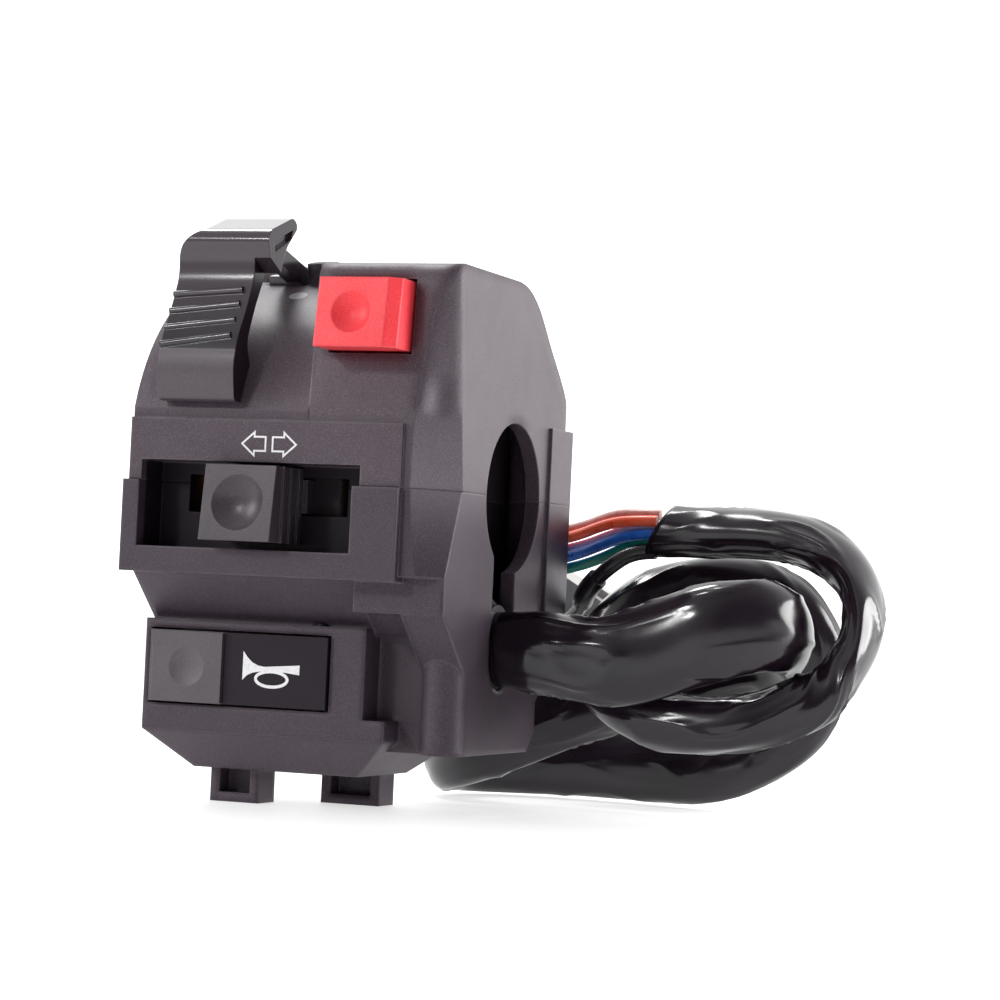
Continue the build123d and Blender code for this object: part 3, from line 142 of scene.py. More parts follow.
def noise_of(tree, waves, detail, rough=0.6, stretch=(1, 1, 1)):
    """Noise in the object's own metres, drawn out along an axis where stretch is under 1."""
    place = add(tree, "TexCoord")
    mapping = add(tree, "Mapping")
    mapping.inputs["Scale"].default_value = stretch
    texture = add(tree, "TexNoise", Scale=waves, Detail=detail, Roughness=rough)
    tree.links.new(place.outputs["Object"], mapping.inputs["Vector"])
    tree.links.new(mapping.outputs["Vector"], texture.inputs["Vector"])
    return texture.outputs["Fac"]


def ramp(tree, source, *stops):
    """A colour ramp whose stops are (place, colour) pairs."""
    node = add(tree, "ValToRGB")
    colours = node.color_ramp
    colours.elements[0].position, colours.elements[1].position = stops[0][0], stops[-1][0]
    for place, _ in stops[1:-1]:
        colours.elements.new(place)
    for element, (_, colour) in zip(colours.elements, stops):
        element.color = (*colour, 1)
    tree.links.new(source, node.inputs["Fac"])
    return node.outputs["Color"]


def spread(tree, source, low, high, start=0.3, end=0.7):
    """The source's values from start to end, mapped to low to high."""
    node = add(tree, "MapRange")
    for key, value in (("From Min", start), ("From Max", end), ("To Min", low), ("To Max", high)):
        node.inputs[key].default_value = value
    tree.links.new(source, node.inputs["Value"])
    return node.outputs["Result"]


def mixed(tree, share, first, second):
    """A colour between the first and the second, each of them a colour or a socket."""
    node = add(tree, "Mix", data_type="RGBA")
    for index, value in zip(MIX_COLOUR_SOCKETS, (share, first, second)):
        if isinstance(value, (float, int)):
            node.inputs[index].default_value = value
        elif isinstance(value, tuple):
            node.inputs[index].default_value = (*value, 1)
        else:
            tree.links.new(value, node.inputs[index])
    return node.outputs[MIX_COLOUR_RESULT]


def product_of(tree, first, second):
    node = add(tree, "Math", operation="MULTIPLY")
    for socket, value in zip(node.inputs, (first, second)):
        if isinstance(value, (float, int)):
            socket.default_value = value
        else:
            tree.links.new(value, socket)
    return node.outputs["Value"]


def bumped(tree, height, strength, distance, normal=None):
    """A normal with the height's relief, on top of another normal where one is given."""
    node = add(tree, "Bump", Strength=strength, Distance=distance)
    tree.links.new(height, node.inputs["Height"])
    if normal is not None:
        tree.links.new(normal, node.inputs["Normal"])
    return node.outputs["Normal"]


def level_of(tree, axis):
    """The object's own X, Y or Z in metres."""
    place = add(tree, "TexCoord")
    split = add(tree, "SeparateXYZ")
    tree.links.new(place.outputs["Object"], split.inputs["Vector"])
    return split.outputs[axis]


def bevelled(tree, radius):
    node = add(tree, "Bevel", Radius=radius)
    node.samples = BEVEL_SAMPLES
    return node.outputs["Normal"]


def soft_edge(tree, radius, wide=None, edge_from=0.0, edge_to=0.0):
    """A normal that rounds sharp edges, and a mask that is 1 on them. It is wider past a height."""
    narrow = bevelled(tree, radius)
    plain = add(tree, "NewGeometry")
    dot = add(tree, "VectorMath", operation="DOT_PRODUCT")
    tree.links.new(narrow, dot.inputs[0])
    tree.links.new(plain.outputs["Normal"], dot.inputs[1])
    mask = spread(tree, dot.outputs["Value"], 1, 0, 0.75, 0.999)
    if wide is None:
        return narrow, mask
    blend = add(tree, "Mix", data_type="VECTOR")
    share = spread(tree, level_of(tree, "Z"), 0, 1, edge_from, edge_to)
    for index, source in zip(MIX_VECTOR_SOCKETS, (share, narrow, bevelled(tree, wide))):
        tree.links.new(source, blend.inputs[index])
    return blend.outputs[MIX_VECTOR_RESULT], mask


# Finishes

# Noise of the moulded plastics, in waves per metre: cloudy tone, grain, patches of the pale edges that are
# partly worn and partly painted highlight, and patches of gloss
CLOUD_WAVES, GRAIN_WAVES, EDGE_WEAR_AND_HIGHLIGHT_WAVES, GLOSS_WAVES = 90, 5200, 240, 160

# Broader edges of the two housing halves: their radius, and the heights between which they take over
UPPER_EDGE = (3.2 * MM, 10 * MM, 12 * MM)
LOWER_EDGE = (1.3 * MM, -13.5 * MM, -14.5 * MM)
# Painted shade inside the knob's window: its colour, and the specular level that dims reflections there
RECESS_PAINTED_SHADE, RECESS_SHADE_LEVEL = (0.012, 0.007, 0.012), 0.2


def moulded(name, dark, light, roughness, speck_wear_and_highlight, grain_depth=0.05 * MM, radius=0.45 * MM, level=0.5, wide=()):
    """Moulded plastic: fine grain, cloudy tone, uneven gloss, and pale edges, partly worn and partly painted
    highlight.
    """
    made, tree, base = shader(name)
    normal, mask = soft_edge(tree, radius, *wide)
    grain = noise_of(tree, GRAIN_WAVES, 2, 0.7)
    tone = ramp(tree, noise_of(tree, CLOUD_WAVES, 5), (0.25, dark), (0.75, light))
    tone = mixed(tree, spread(tree, grain, 0.0, 0.35, 0.45, 0.8), tone, speck_wear_and_highlight)
    # Pale edges: partly worn plastic, partly painted highlight where the light catches them
    edge_wear_and_highlight = product_of(tree, mask, spread(tree, noise_of(tree, EDGE_WEAR_AND_HIGHLIGHT_WAVES, 3), 0.15, 0.8))
    gloss = spread(tree, noise_of(tree, GLOSS_WAVES, 4), roughness - 0.03, roughness + 0.03)
    tree.links.new(mixed(tree, edge_wear_and_highlight, tone, speck_wear_and_highlight), base.inputs["Base Color"])
    tree.links.new(gloss, base.inputs["Roughness"])
    tree.links.new(bumped(tree, grain, 0.35, grain_depth, normal), base.inputs["Normal"])
    base.inputs["Specular IOR Level"].default_value = level
    return made


def shade_recess(made):
    """Paints shade into a housing half inside the knob's window, where little light comes in."""
    tree = made.node_tree
    base = tree.nodes["Principled BSDF"]
    share = 1
    for axis, (low, high) in RECESS_REACH.items():
        for start, end in ((low - RECESS_FADE, low), (high + RECESS_FADE, high)):
            share = product_of(tree, share, spread(tree, level_of(tree, axis), 0, 1, start, end))
    plain = base.inputs["Base Color"].links[0].from_socket
    level = base.inputs["Specular IOR Level"]
    # Painted shade: a darker colour, and a lower specular level that dims reflections
    tree.links.new(mixed(tree, share, plain, RECESS_PAINTED_SHADE), base.inputs["Base Color"])
    tree.links.new(spread(tree, share, level.default_value, RECESS_SHADE_LEVEL, 0, 1), level)


def metal(name, dark, light, roughness):
    """Turned metal with streaks along X, which also roughen it."""
    made, tree, base = shader(name)
    normal, _ = soft_edge(tree, 0.15 * MM)
    streak = noise_of(tree, waves=900, detail=3, stretch=(0.08, 1, 1))
    tree.links.new(ramp(tree, streak, (0.2, dark), (0.8, light)), base.inputs["Base Color"])
    tree.links.new(spread(tree, streak, roughness - 0.08, roughness + 0.1), base.inputs["Roughness"])
    tree.links.new(bumped(tree, streak, 0.2, 0.03 * MM, normal), base.inputs["Normal"])
    base.inputs["Metallic"].default_value = 1
    return made


def insulation(name, dark, light):
    """Smooth glossy wire insulation with a faintly uneven colour and surface."""
    made, tree, base = shader(name)
    marks = noise_of(tree, waves=500, detail=3)
    tree.links.new(ramp(tree, marks, (0.25, dark), (0.75, light)), base.inputs["Base Color"])
    tree.links.new(spread(tree, marks, 0.24, 0.4), base.inputs["Roughness"])
    relief = noise_of(tree, waves=1400, detail=2)
    tree.links.new(bumped(tree, relief, 0.12, 0.05 * MM), base.inputs["Normal"])
    return made


def vinyl():
    """The loom's soft glossy sleeve, with fine creases and dull patches."""
    made, tree, base = shader("loom_vinyl")
    tone = ramp(tree, noise_of(tree, waves=70, detail=4), (0.25, (0.004, 0.002, 0.004)),
                (0.8, (0.014, 0.008, 0.014)))
    tree.links.new(tone, base.inputs["Base Color"])
    tree.links.new(spread(tree, noise_of(tree, waves=130, detail=3), 0.13, 0.25), base.inputs["Roughness"])
    creases = noise_of(tree, waves=120, detail=2, rough=0.4, stretch=(0.6, 1, 1))
    grain = noise_of(tree, waves=2600, detail=2, rough=0.5)
    normal = bumped(tree, grain, 0.12, 0.02 * MM, bumped(tree, creases, 0.35, 0.5 * MM))
    tree.links.new(normal, base.inputs["Normal"])
    return made


def print_paint(name, colour):
    """Screen-printed paint, a little broken where the grain shows through."""
    made, tree, base = shader(name)
    worn = noise_of(tree, waves=2600, detail=3)
    faded = tuple(0.75 * part for part in colour)
    tree.links.new(ramp(tree, worn, (0.22, faded), (0.5, colour)), base.inputs["Base Color"])
    tree.links.new(spread(tree, worn, 0.4, 0.6), base.inputs["Roughness"])
    tree.links.new(bumped(tree, worn, 0.2, 0.03 * MM), base.inputs["Normal"])
    return made


def horn_plastic():
    """The horn plate: a grained grey pad beside a smooth black plate."""
    made = moulded("horn_plastic", (0.052, 0.044, 0.052), (0.075, 0.064, 0.072), 0.5, (0.20, 0.18, 0.20),
                   radius=0.2 * MM)
    tree = made.node_tree
    base = tree.nodes["Principled BSDF"]
    plate = spread(tree, level_of(tree, "X"), 0, 1, HORN_PAD_END - 0.01 * MM, HORN_PAD_END + 0.01 * MM)
    grained = base.inputs["Base Color"].links[0].from_socket
    tree.links.new(mixed(tree, plate, grained, (0.011, 0.006, 0.012)), base.inputs["Base Color"])
    tree.links.new(spread(tree, plate, 0.5, 0.22, 0, 1), base.inputs["Specular IOR Level"])
    return made


def lever_plastic():
    """The lever: glossy above its plain lower block, with painted light towards its top and painted shade on
    faces turned right.
    """
    made = moulded("lever_plastic", (0.040, 0.028, 0.038), (0.052, 0.038, 0.049), 0.4, (0.13, 0.11, 0.13),
                   radius=0.25 * MM, grain_depth=0.012 * MM)
    tree = made.node_tree
    base = tree.nodes["Principled BSDF"]
    above = spread(tree, level_of(tree, "Z"), 0, 1, LEVER_CREASE, LEVER_CREASE + 0.3 * MM)
    # Painted light: the glossy part is painted paler towards the top of the lever
    lift = spread(tree, level_of(tree, "Z"), 0, 1, LEVER_TOP_LIGHT_START, LEVER_TOP_LIGHT_END)
    # Painted shade: faces turned to the right are painted near black and lose specular and coat
    facing = add(tree, "SeparateXYZ")
    tree.links.new(add(tree, "NewGeometry").outputs["Normal"], facing.inputs["Vector"])
    right = spread(tree, facing.outputs["X"], 0, 1, 0.6, 0.8)
    plain = base.inputs["Base Color"].links[0].from_socket
    glossy = mixed(tree, lift, (0.013, 0.009, 0.013), (0.040, 0.030, 0.038))
    tone = mixed(tree, right, mixed(tree, above, plain, glossy), (0.012, 0.008, 0.012))
    tree.links.new(tone, base.inputs["Base Color"])
    tree.links.new(spread(tree, above, 0.45, 0.17, 0, 1), base.inputs["Roughness"])
    tree.links.new(spread(tree, right, 0.5, 0.15, 0, 1), base.inputs["Specular IOR Level"])
    tree.links.new(spread(tree, right, 0.25, 0.0, 0, 1), base.inputs["Coat Weight"])
    base.inputs["Coat Roughness"].default_value = 0.07
    return made


def make_materials():
    black = dict(dark=(0.044, 0.029, 0.040), light=(0.062, 0.044, 0.057), speck_wear_and_highlight=(0.24, 0.21, 0.24))
    # The lower half's plastic is painted darker than the upper half's, as painted shade
    shaded_lower_half = dict(dark=(0.033, 0.021, 0.032), light=(0.047, 0.032, 0.045), speck_wear_and_highlight=(0.18, 0.15, 0.18))
    made = {
        "upper_plastic": moulded("upper_plastic", roughness=0.46, level=0.35, wide=UPPER_EDGE, **black),
        "lower_plastic": moulded("lower_plastic", roughness=0.46, level=0.35, wide=LOWER_EDGE, **shaded_lower_half),
        "lever_plastic": lever_plastic(),
        "knob_plastic": moulded("knob_plastic", (0.040, 0.031, 0.039), (0.056, 0.045, 0.053), 0.3,
                                (0.15, 0.13, 0.15), radius=0.2 * MM, level=0.35),
        "horn_plastic": horn_plastic(),
        "red_plastic": moulded("red_plastic", (0.74, 0.030, 0.045), (0.86, 0.050, 0.062), 0.4,
                               (0.95, 0.22, 0.22), grain_depth=0.02 * MM, radius=0.4 * MM, level=0.25),
        "switch_base_plastic": moulded("switch_base_plastic", (0.10, 0.035, 0.015), (0.2, 0.08, 0.03), 0.5,
                                       (0.3, 0.16, 0.08)),
        "carriage_plastic": moulded("carriage_plastic", (0.008, 0.005, 0.008), (0.014, 0.010, 0.013), 0.45,
                                    (0.04, 0.03, 0.04), level=0.25),
        "connector_plastic": moulded("connector_plastic", (0.30, 0.295, 0.28), (0.36, 0.35, 0.335), 0.4,
                                     (0.50, 0.50, 0.48)),
        "rubber": moulded("rubber", (0.012, 0.010, 0.012), (0.025, 0.021, 0.024), 0.65,
                          (0.06, 0.055, 0.06)),
        "steel": metal("steel", (0.26, 0.255, 0.25), (0.44, 0.43, 0.41), 0.34),
        "black_steel": metal("black_steel", (0.020, 0.018, 0.020), (0.045, 0.040, 0.045), 0.45),
        "brass": metal("brass", (0.62, 0.38, 0.14), (0.86, 0.62, 0.28), 0.28),
        "wire_pink": insulation("wire_pink", (0.60, 0.25, 0.22), (0.72, 0.36, 0.32)),
        "wire_red": insulation("wire_red", (1.0, 0.09, 0.035), (1.0, 0.16, 0.07)),
        "wire_lilac": insulation("wire_lilac", (0.50, 0.48, 0.90), (0.62, 0.60, 0.98)),
        "wire_blue": insulation("wire_blue", (0.010, 0.10, 0.50), (0.02, 0.16, 0.66)),
        "wire_green": insulation("wire_green", (0.0, 0.20, 0.16), (0.006, 0.30, 0.22)),
        "wire_black": insulation("wire_black", (0.010, 0.007, 0.011), (0.022, 0.018, 0.022)),
        "loom_vinyl": vinyl(),
        "white_paint": print_paint("white_paint", (0.76, 0.75, 0.76)),
        "grey_paint": print_paint("grey_paint", (0.30, 0.29, 0.31)),
    }
    shade_recess(made["upper_plastic"])
    shade_recess(made["lower_plastic"])
    return made


MATERIALS = make_materials()

# Nodes whose finish isn't the one of their material slot
NODE_FINISH = {"upper_housing": "upper_plastic", "lower_housing": "lower_plastic",
               "horn_pivot_pin": "black_steel"}


def dress_nodes():
    """Gives every CAD node its finish."""
    for entry in frame["record"]["subparts"]:
        node = frame["nodes"][entry["node"]]
        node.data.materials.clear()
        node.data.materials.append(MATERIALS[NODE_FINISH.get(entry["node"], entry["material_slot"])])


# Mesh helpers

SPLINE_ORDER, SPLINE_STEPS = 3, 12
WIRE_ROUNDING = 6


def mesh_piece(name, build, finish, body="housing", smooth=True):
    """A piece that rides a body and whose mesh is filled in by build(bm)."""
    data = bpy.data.meshes.new(name)
    bm = bmesh.new()
    build(bm)
    bmesh.ops.recalc_face_normals(bm, faces=bm.faces)
    bm.to_mesh(data)
    bm.free()
    for face in data.polygons:
        face.use_smooth = smooth
    piece = bpy.data.objects.new(name, data)
    bpy.context.scene.collection.objects.link(piece)
    data.materials.append(MATERIALS[finish])
    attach(piece, body)
    return piece


def spline_curve(name, points):
    """A smooth open curve through the neighbourhood of its control points."""
    curve = bpy.data.curves.new(name, "CURVE")
    curve.dimensions = "3D"
    line = curve.splines.new("NURBS")
    line.points.add(len(points) - 1)
    for point, place in zip(line.points, points):
        point.co = (*place, 1)
    line.order_u = SPLINE_ORDER
    line.use_endpoint_u = True
    line.resolution_u = SPLINE_STEPS
    return curve


def follow(points):
    """Points read from the route's own spline."""
    curve = spline_curve("route_reader", points)
    holder = bpy.data.objects.new("route_reader", curve)
    mesh = bpy.data.meshes.new_from_object(holder)
    read = [vertex.co.copy() for vertex in mesh.vertices]
    bpy.data.objects.remove(holder)
    bpy.data.curves.remove(curve)
    bpy.data.meshes.remove(mesh)
    return read


def length_of(points):
    return sum((after - before).length for before, after in zip(points, points[1:]))


# The loom: a soft sleeve over the wires, flattened and wrinkled along its route

# Stations along the loom: share of the length, half size along a direction and across it in millimetres, how
# far the section stands off the route along that direction, how wrinkled the sleeve is, and the direction
SLEEVE_STATIONS = [
    (0.00, 5.4, 4.0, 0.0, 0.5, (0, 0, 1)), (0.02, 6.2, 4.2, 0.0, 1.0, (0, 0, 1)),
    (0.040, 5.9, 4.3, -0.7, 1.0, (0, 0, 1)), (0.065, 6.8, 3.8, -0.8, 0.7, (0, 0, 1)),
    (0.095, 6.9, 3.7, -0.3, 0.6, (0, 0, 1)), (0.120, 6.4, 3.6, 0.3, 0.6, (0, 0, 1)),
    (0.145, 5.6, 3.6, 0.3, 0.7, (0, 0, 1)), (0.18, 4.6, 3.5, 0.0, 0.8, (0, 0, 1)),
    (0.22, 4.6, 3.6, 0.0, 0.8, (0, 0, 1)), (0.30, 5.2, 3.4, 0.0, 0.6, (0, 0, 1)),
    (0.38, 5.6, 3.2, 0.0, 0.4, (0, 0, 1)), (0.47, 5.6, 3.2, 0.2, 0.3, (0, 0, 1)),
    (0.52, 5.9, 3.2, 0.0, 0.3, (0.3, 0.1, 1)), (0.56, 5.4, 3.3, -0.6, 0.4, (-0.84, 0, 0.54)),
    (0.60, 4.4, 3.8, 0.0, 0.6, (-0.9, 0, -0.4)), (0.64, 3.7, 4.5, 0.0, 0.6, (0.1, 0.05, -1)),
    (0.68, 4.3, 3.8, 0.0, 0.4, (0, 0.6, -0.8)), (0.71, 4.4, 3.7, 0.0, 0.3, (0, 0.6, -0.8)),
    (0.74, 4.4, 3.7, -0.1, 0.4, (0, 0.6, -0.8)), (0.77, 4.2, 4.0, -0.3, 0.6, (-0.2, 0.2, -1)),
    (0.80, 4.1, 4.2, -0.4, 0.7, (0, 0, -1)), (0.83, 4.3, 3.8, -0.2, 0.9, (0, -0.4, -1)),
    (0.86, 4.9, 2.9, 0.0, 0.7, (0, -1, -0.2)), (0.89, 5.2, 2.7, 0.0, 0.5, (0, -1, 0)),
    (0.92, 4.9, 3.3, 0.0, 0.7, (0, -1, 0)), (0.955, 4.6, 3.7, 0.0, 0.5, (0, -1, 0)),
    (0.985, 4.3, 3.7, 0.0, 0.3, (0, -1, 0)), (1.00, 4.2, 3.9, 0.0, 0.2, (0, -1, 0))]
SLEEVE_SIDES = 64
SLEEVE_STEP = 0.8 * MM
SLEEVE_WALL = 0.5 * MM
SLEEVE_MOUTH = 7 * MM
SLEEVE_LIMIT = 7.5 * MM
MOUTH_SLANT = 0.55
FLOOR_ROOM = 0.3 * MM

# Wrinkles: waves per metre along the loom, waves round it and share of the depth, for soft dents, folds and
# ridges. Folds also drift from place to place, and only the tops of the ridges stand out.
SOFT_WAVES, SOFT_SHARE = 60, 0.9
FOLD_WAVES, FOLD_ROUND, FOLD_DRIFT, FOLD_SHARE = 48, 1.1, 30, 0.8
RIDGE_WAVES, RIDGE_ROUND, RIDGE_START, RIDGE_SHARE = 70, 1.3, 0.45, 3.2
WRINKLE_DEPTH = 0.62 * MM


def station(share):
    """The sleeve's half sizes, offset, wrinkles and direction at a share of its length."""
    for first, second in zip(SLEEVE_STATIONS, SLEEVE_STATIONS[1:]):
        if share <= second[0]:
            break
    part = min(1, (share - first[0]) / (second[0] - first[0]))
    part = part * part * (3 - 2 * part)
    tall, wide, lift, rough = (near + (far - near) * part for near, far in zip(first[1:5], second[1:5]))
    return tall * MM, wide * MM, lift * MM, rough, Vector(first[5]).lerp(Vector(second[5]), part)


def wrinkle(place, angle, along):
    """How far the soft sleeve stands in or out of its plain section, in metres."""
    soft = noise.noise(place * SOFT_WAVES)
    round_fold = Vector((along * FOLD_WAVES, cos(angle) * FOLD_ROUND, sin(angle) * FOLD_ROUND))
    fold = noise.noise(round_fold + place * FOLD_DRIFT)
    round_ridge = Vector((along * RIDGE_WAVES, cos(angle) * RIDGE_ROUND, sin(angle) * RIDGE_ROUND))
    ridge = max(0, 1 - abs(noise.noise(round_ridge)) * 2 - RIDGE_START) ** 2
    return (soft * SOFT_SHARE + fold * FOLD_SHARE + ridge * RIDGE_SHARE) * WRINKLE_DEPTH


def even_steps(points, step):
    """Points at even steps along a line of points."""
    made, left = [points[0]], step
    for before, after in zip(points, points[1:]):
        run = (after - before).length
        while left <= run:
            made.append(before.lerp(after, left / run))
            left += step
        left -= run
    return made


def sleeve_section(point, forward, along, total):
    """Places round the sleeve at one point of its route."""
    tall, wide, lift, rough, up = station(along / total)
    up = (up - forward * up.dot(forward)).normalized()
    side = forward.cross(up)
    slant = max(0, along - total + SLEEVE_MOUTH) / SLEEVE_MOUTH * MOUTH_SLANT
    places = []
    for corner in range(SLEEVE_SIDES):
        angle = 2 * pi * corner / SLEEVE_SIDES
        out = up * cos(angle) * tall + side * sin(angle) * wide
        out += out.normalized() * wrinkle(point + out, angle, along) * rough + up * lift
        spot = point + out.normalized() * min(out.length, SLEEVE_LIMIT) - forward * out.z * slant
        spot.z = max(spot.z, FLOOR + FLOOR_ROOM)
        places.append(spot)
    return places


def lined(bm, ring):
    """A ring of the sleeve's inner wall, inside one of its outer rings."""
    middle = sum((vertex.co for vertex in ring), Vector()) / len(ring)
    return [bm.verts.new(vertex.co + (middle - vertex.co).normalized() * SLEEVE_WALL) for vertex in ring]


def loom_sleeve():
    points = even_steps(follow(LOOM_ROUTE), SLEEVE_STEP)
    total = length_of(points)

    def build(bm):
        rings, along = [], 0.0
        for index, point in enumerate(points):
            before, after = points[max(index - 1, 0)], points[min(index + 1, len(points) - 1)]
            along += (point - before).length
            places = sleeve_section(point, (after - before).normalized(), along, total)
            rings.append([bm.verts.new(place) for place in places])
        mouth = [ring for ring, point in zip(rings, points) if (point - points[-1]).length < SLEEVE_MOUTH]
        rings += [lined(bm, ring) for ring in reversed(mouth)]
        for first, second in zip(rings, rings[1:]):
            for corner in range(SLEEVE_SIDES):
                after = (corner + 1) % SLEEVE_SIDES
                bm.faces.new((first[corner], first[after], second[after], second[corner]))
        bm.faces.new(rings[0])
        bm.faces.new(rings[-1])

    piece = mesh_piece("loom_sleeve", build, "loom_vinyl")
    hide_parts("harness_lead", "harness_coil")


# Wires out of the loom

def bundle_wire_route(index, count):
    """The route of one of the thin wires, counted from the top of the bundle."""
    side = WIRE_SIDE if index % 2 else -WIRE_SIDE
    rank = (count - 1) / 2 - index
    last = len(BUNDLE_ROUTE) - 1
    route = []
    for place, (x, y, z) in enumerate(BUNDLE_ROUTE):
        at_mouth, at_connector = place < STRAIGHT_POINTS, place > last - STRAIGHT_POINTS
        first, second = place - 1, place + 1
        if at_mouth:
            first, second = 0, 1
        elif at_connector:
            first, second = last - 1, last
        run = BUNDLE_ROUTE[second][0] - BUNDLE_ROUTE[first][0]
        rise = BUNDLE_ROUTE[second][1] - BUNDLE_ROUTE[first][1]
        stretch = sqrt(run**2 + rise**2)
        fan = rank * (WIRE_FAN_START if at_mouth else WIRE_FAN)
        lean = CONNECTOR_SLOPE if at_connector else 0
        route.append((x - side * rise / stretch + fan * sin(lean), y + side * run / stretch,
                      z + fan * cos(lean)))
    return route


def wire_piece(node, route, diameter):
    curve = spline_curve(node + "_line", route)
    curve.bevel_depth = diameter / 2 + WIRE_SWELL
    curve.bevel_resolution = WIRE_ROUNDING
    curve.use_fill_caps = True
    piece = bpy.data.objects.new(node + "_line", curve)
    bpy.context.scene.collection.objects.link(piece)
    curve.materials.append(MATERIALS[node])
    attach(piece, "housing")
    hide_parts(node)
    length_of(follow(route))


def loom_wires():
    names = ["wire_pink", "wire_red", "wire_lilac", "wire_blue", "wire_green"]
    for index, node in enumerate(names):
        wire_piece(node, bundle_wire_route(index, len(names)), WIRE_DIAMETER)
    wire_piece("wire_black", BLACK_ROUTE, BLACK_DIAMETER)


# Printed symbols

PRINT_LIFT = 0.03 * MM
STROKE = 0.27 * MM
SHARPEST_MITRE = 0.35

# Arrows, in millimetres: each tail's x and the way it points, then the heights and lengths of its parts
ARROW_TAILS, ARROW_LEVEL = {"arrow_left": (-2.85, -1), "arrow_right": (-1.75, 1)}, 5.55
ARROW_NECK, ARROW_REACH, ARROW_SHAFT, ARROW_HEAD = 1.75, 3.65, 1.0, 1.65

# Horn, as x and z in millimetres: the outline of its bell and tube, then its loop
HORN_BELL = [(-8.2, -24.0), (-7.5, -24.9), (-6.7, -25.6), (-5.8, -26.0), (-4.8, -26.15), (0.75, -25.7),
             (0.75, -27.1), (-1.4, -26.85), (-4.8, -26.75), (-5.8, -26.9), (-6.7, -27.1), (-7.5, -27.5),
             (-8.2, -28.2)]
LOOP_MIDDLE, LOOP_REACH, LOOP_HEIGHT, LOOP_CORNERS = (-3.6, -27.9), 2.5, 1.1, 48
LOOP_STROKE = 0.45 * MM

# The round mark: its angle up the dome, its place along the bar, its radius and the corners of its rim
MARK_LEAN, MARK_ACROSS, MARK_RADIUS, MARK_CORNERS = radians(63), -6.0 * MM, 1.4 * MM, 32


def printed_outline(name, corners, front, body, stroke):
    """A painted line round a closed outline, given as (x, z) in millimetres, on an upright face."""
    points = [Vector((x * MM, z * MM)) for x, z in corners]

    def build(bm):
        inner, outer = [], []
        for before, point, after in zip(points[-1:] + points, points, points[1:] + points[:1]):
            first = (point - before).normalized()
            second = (after - point).normalized()
            normal = Vector((-(first + second).y, (first + second).x)).normalized()
            reach = stroke / 2 / max(SHARPEST_MITRE, normal.dot(Vector((-first.y, first.x))))
            for row, sign in ((inner, -1), (outer, 1)):
                spot = point + normal * reach * sign
                row.append(bm.verts.new((spot.x, front - PRINT_LIFT, spot.y)))
        for index in range(len(points)):
            after = (index + 1) % len(points)
            bm.faces.new((inner[index], inner[after], outer[after], outer[index]))

    mesh_piece(name, build, "white_paint", body, smooth=False)


def turn_arrows():
    """Two hollow arrows that point left and right, above the window."""
    half = [(0, -ARROW_SHAFT), (ARROW_NECK, -ARROW_SHAFT), (ARROW_NECK, -ARROW_HEAD)]
    outline = half + [(ARROW_REACH, 0)] + [(x, -z) for x, z in reversed(half)]
    for name, (tail, way) in ARROW_TAILS.items():
        corners = [(tail + way * x, ARROW_LEVEL + z) for x, z in outline]
        printed_outline(name, corners, BAND_FRONT, "housing", STROKE)


def horn_symbol():
    """A generic horn: its bell and tube as one flat shape, and the tube's loop."""
    def build(bm):
        bell = [bm.verts.new((across * MM, HORN_FRONT - PRINT_LIFT, up * MM)) for across, up in HORN_BELL]
        bmesh.ops.triangulate(bm, faces=[bm.faces.new(bell)])

    mesh_piece("horn_bell", build, "white_paint", "horn_button", smooth=False)
    x, z = LOOP_MIDDLE
    turns = [2 * pi * step / LOOP_CORNERS for step in range(LOOP_CORNERS)]
    loop = [(x + LOOP_REACH * cos(turn), z + LOOP_HEIGHT * sin(turn)) for turn in turns]
    printed_outline("horn_loop", loop, HORN_FRONT - PRINT_LIFT / 3, "horn_button", LOOP_STROKE)


def dome_mark():
    """The round pale mark on top of the dome, beside the lever's slot."""
    def build(bm):
        reach = DOME_RADIUS + PRINT_LIFT
        rim = []
        for step in range(MARK_CORNERS):
            turn = 2 * pi * step / MARK_CORNERS
            lean = MARK_LEAN + MARK_RADIUS * sin(turn) / DOME_RADIUS
            rim.append(bm.verts.new((MARK_ACROSS + MARK_RADIUS * cos(turn), -reach * cos(lean),
                                     DOME_LIFT + reach * sin(lean))))
        bm.faces.new(rim)

    mesh_piece("dome_mark", build, "grey_paint", smooth=False)


# Floor, lights and camera

def paper():
    """Pale paper that glows a little, so that shadows on it stay soft and light."""
    made, tree, base = shader("paper")
    tone = ramp(tree, noise_of(tree, waves=30, detail=3), (0.3, (0.40, 0.40, 0.41)),
                (0.7, (0.44, 0.44, 0.44)))
    tree.links.new(tone, base.inputs["Base Color"])
    base.inputs["Roughness"].default_value = 0.55
    base.inputs["Emission Color"].default_value = (1, 1, 1, 1)
    base.inputs["Emission Strength"].default_value = FLOOR_GLOW
    return made


def floor():
    data = bpy.data.meshes.new("floor")
    corners = [(x * FLOOR_REACH, y * FLOOR_REACH, FLOOR) for x, y in ((-1, -1), (1, -1), (1, 1), (-1, 1))]
    data.from_pydata(corners, [], [(0, 1, 2, 3)])
    plane = bpy.data.objects.new("floor", data)
    bpy.context.scene.collection.objects.link(plane)
    data.materials.append(paper())


def lamp(name, place, size, power):
    data = bpy.data.lights.new(name, "AREA")
    data.shape, data.size, data.energy = "DISK", size, power
    holder = bpy.data.objects.new(name, data)
    holder.location = place
    holder.rotation_euler = (LAMP_AIM - Vector(place)).to_track_quat("-Z", "Y").to_euler()
    bpy.context.scene.collection.objects.link(holder)


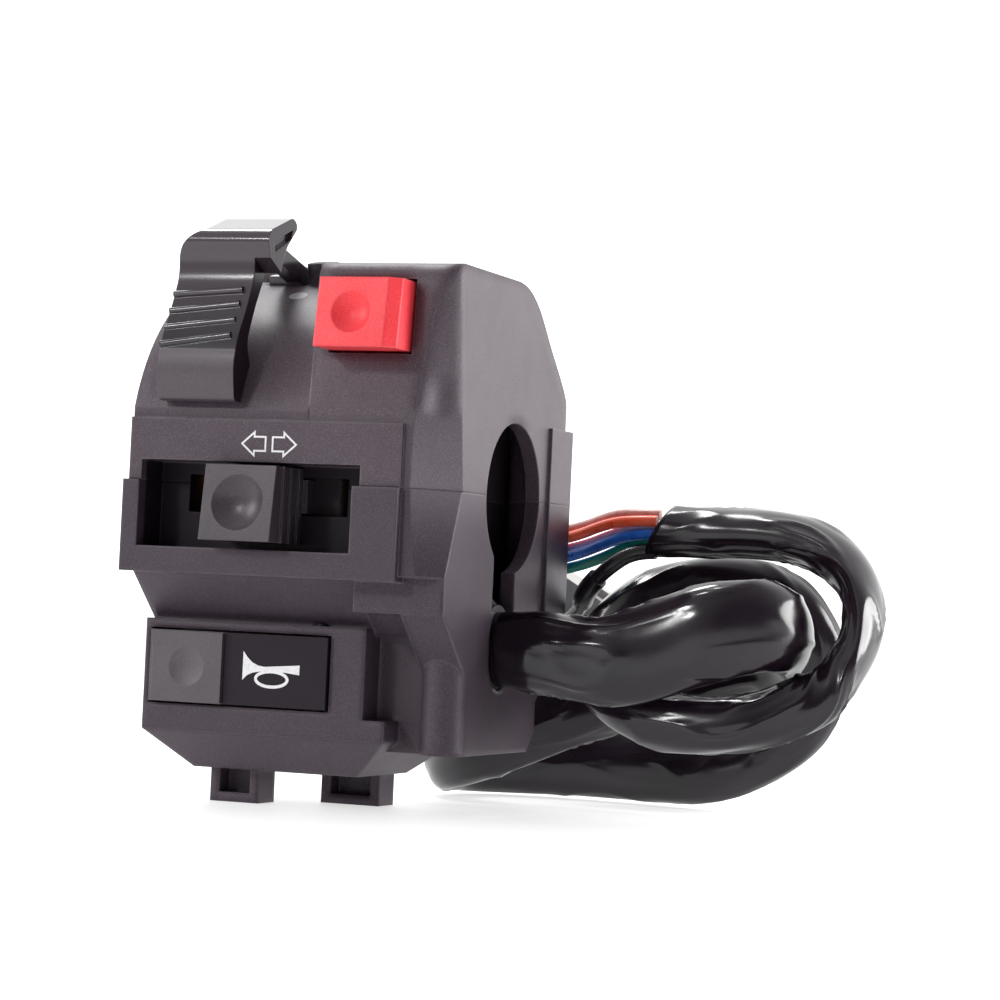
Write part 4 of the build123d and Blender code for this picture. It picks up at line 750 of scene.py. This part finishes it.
def studio():
    world = bpy.data.worlds.new("studio")
    world.use_nodes = True
    tree = world.node_tree
    place = add(tree, "TexCoord")
    glow = add(tree, "Math", operation="ADD")
    for index, (way, near, far, start, end) in enumerate(((DARK_SIDE, FRONT_GLOW, DARK_GLOW, 0.1, 0.8),
                                                          (BACKDROP, 0.0, BACKDROP_GLOW, 0.1, 0.7))):
        facing = add(tree, "VectorMath", operation="DOT_PRODUCT")
        facing.inputs[1].default_value = way
        tree.links.new(place.outputs["Generated"], facing.inputs[0])
        tree.links.new(spread(tree, facing.outputs["Value"], near, far, start, end), glow.inputs[index])
    tree.links.new(glow.outputs["Value"], tree.nodes["Background"].inputs["Strength"])
    tree.nodes["Background"].inputs["Color"].default_value = (1, 1, 1, 1)
    bpy.context.scene.world = world
    for settings in LAMPS:
        lamp(*settings)
    bpy.context.scene.view_settings.view_transform = "Standard"


def camera():
    back = Vector((sin(VIEW_AZIMUTH) * cos(VIEW_ELEVATION), -cos(VIEW_AZIMUTH) * cos(VIEW_ELEVATION),
                   sin(VIEW_ELEVATION)))
    level = Vector((cos(VIEW_AZIMUTH), sin(VIEW_AZIMUTH), 0))
    up = back.cross(level)
    right = level * cos(VIEW_ROLL) + up * sin(VIEW_ROLL)
    top = -level * sin(VIEW_ROLL) + up * cos(VIEW_ROLL)
    across = (LOOK_AT_PIXEL[0] - PICTURE / 2) / PIXELS_PER_METRE
    down = (LOOK_AT_PIXEL[1] - PICTURE / 2) / PIXELS_PER_METRE
    place = LOOK_AT + back * FOCAL / PIXELS_PER_METRE - right * across + top * down
    lens = bpy.data.cameras.new("camera")
    lens.sensor_width = SENSOR
    lens.lens = FOCAL / PICTURE * SENSOR
    lens.clip_start = NEAREST
    holder = bpy.data.objects.new("camera", lens)
    turn = Matrix((right, top, back)).transposed().to_4x4()
    holder.matrix_world = Matrix.Translation(place) @ turn
    bpy.context.scene.collection.objects.link(holder)
    bpy.context.scene.camera = holder


dress_nodes()
camera()
studio()
floor()
loom_sleeve()
loom_wires()
turn_arrows()
horn_symbol()
dome_mark()
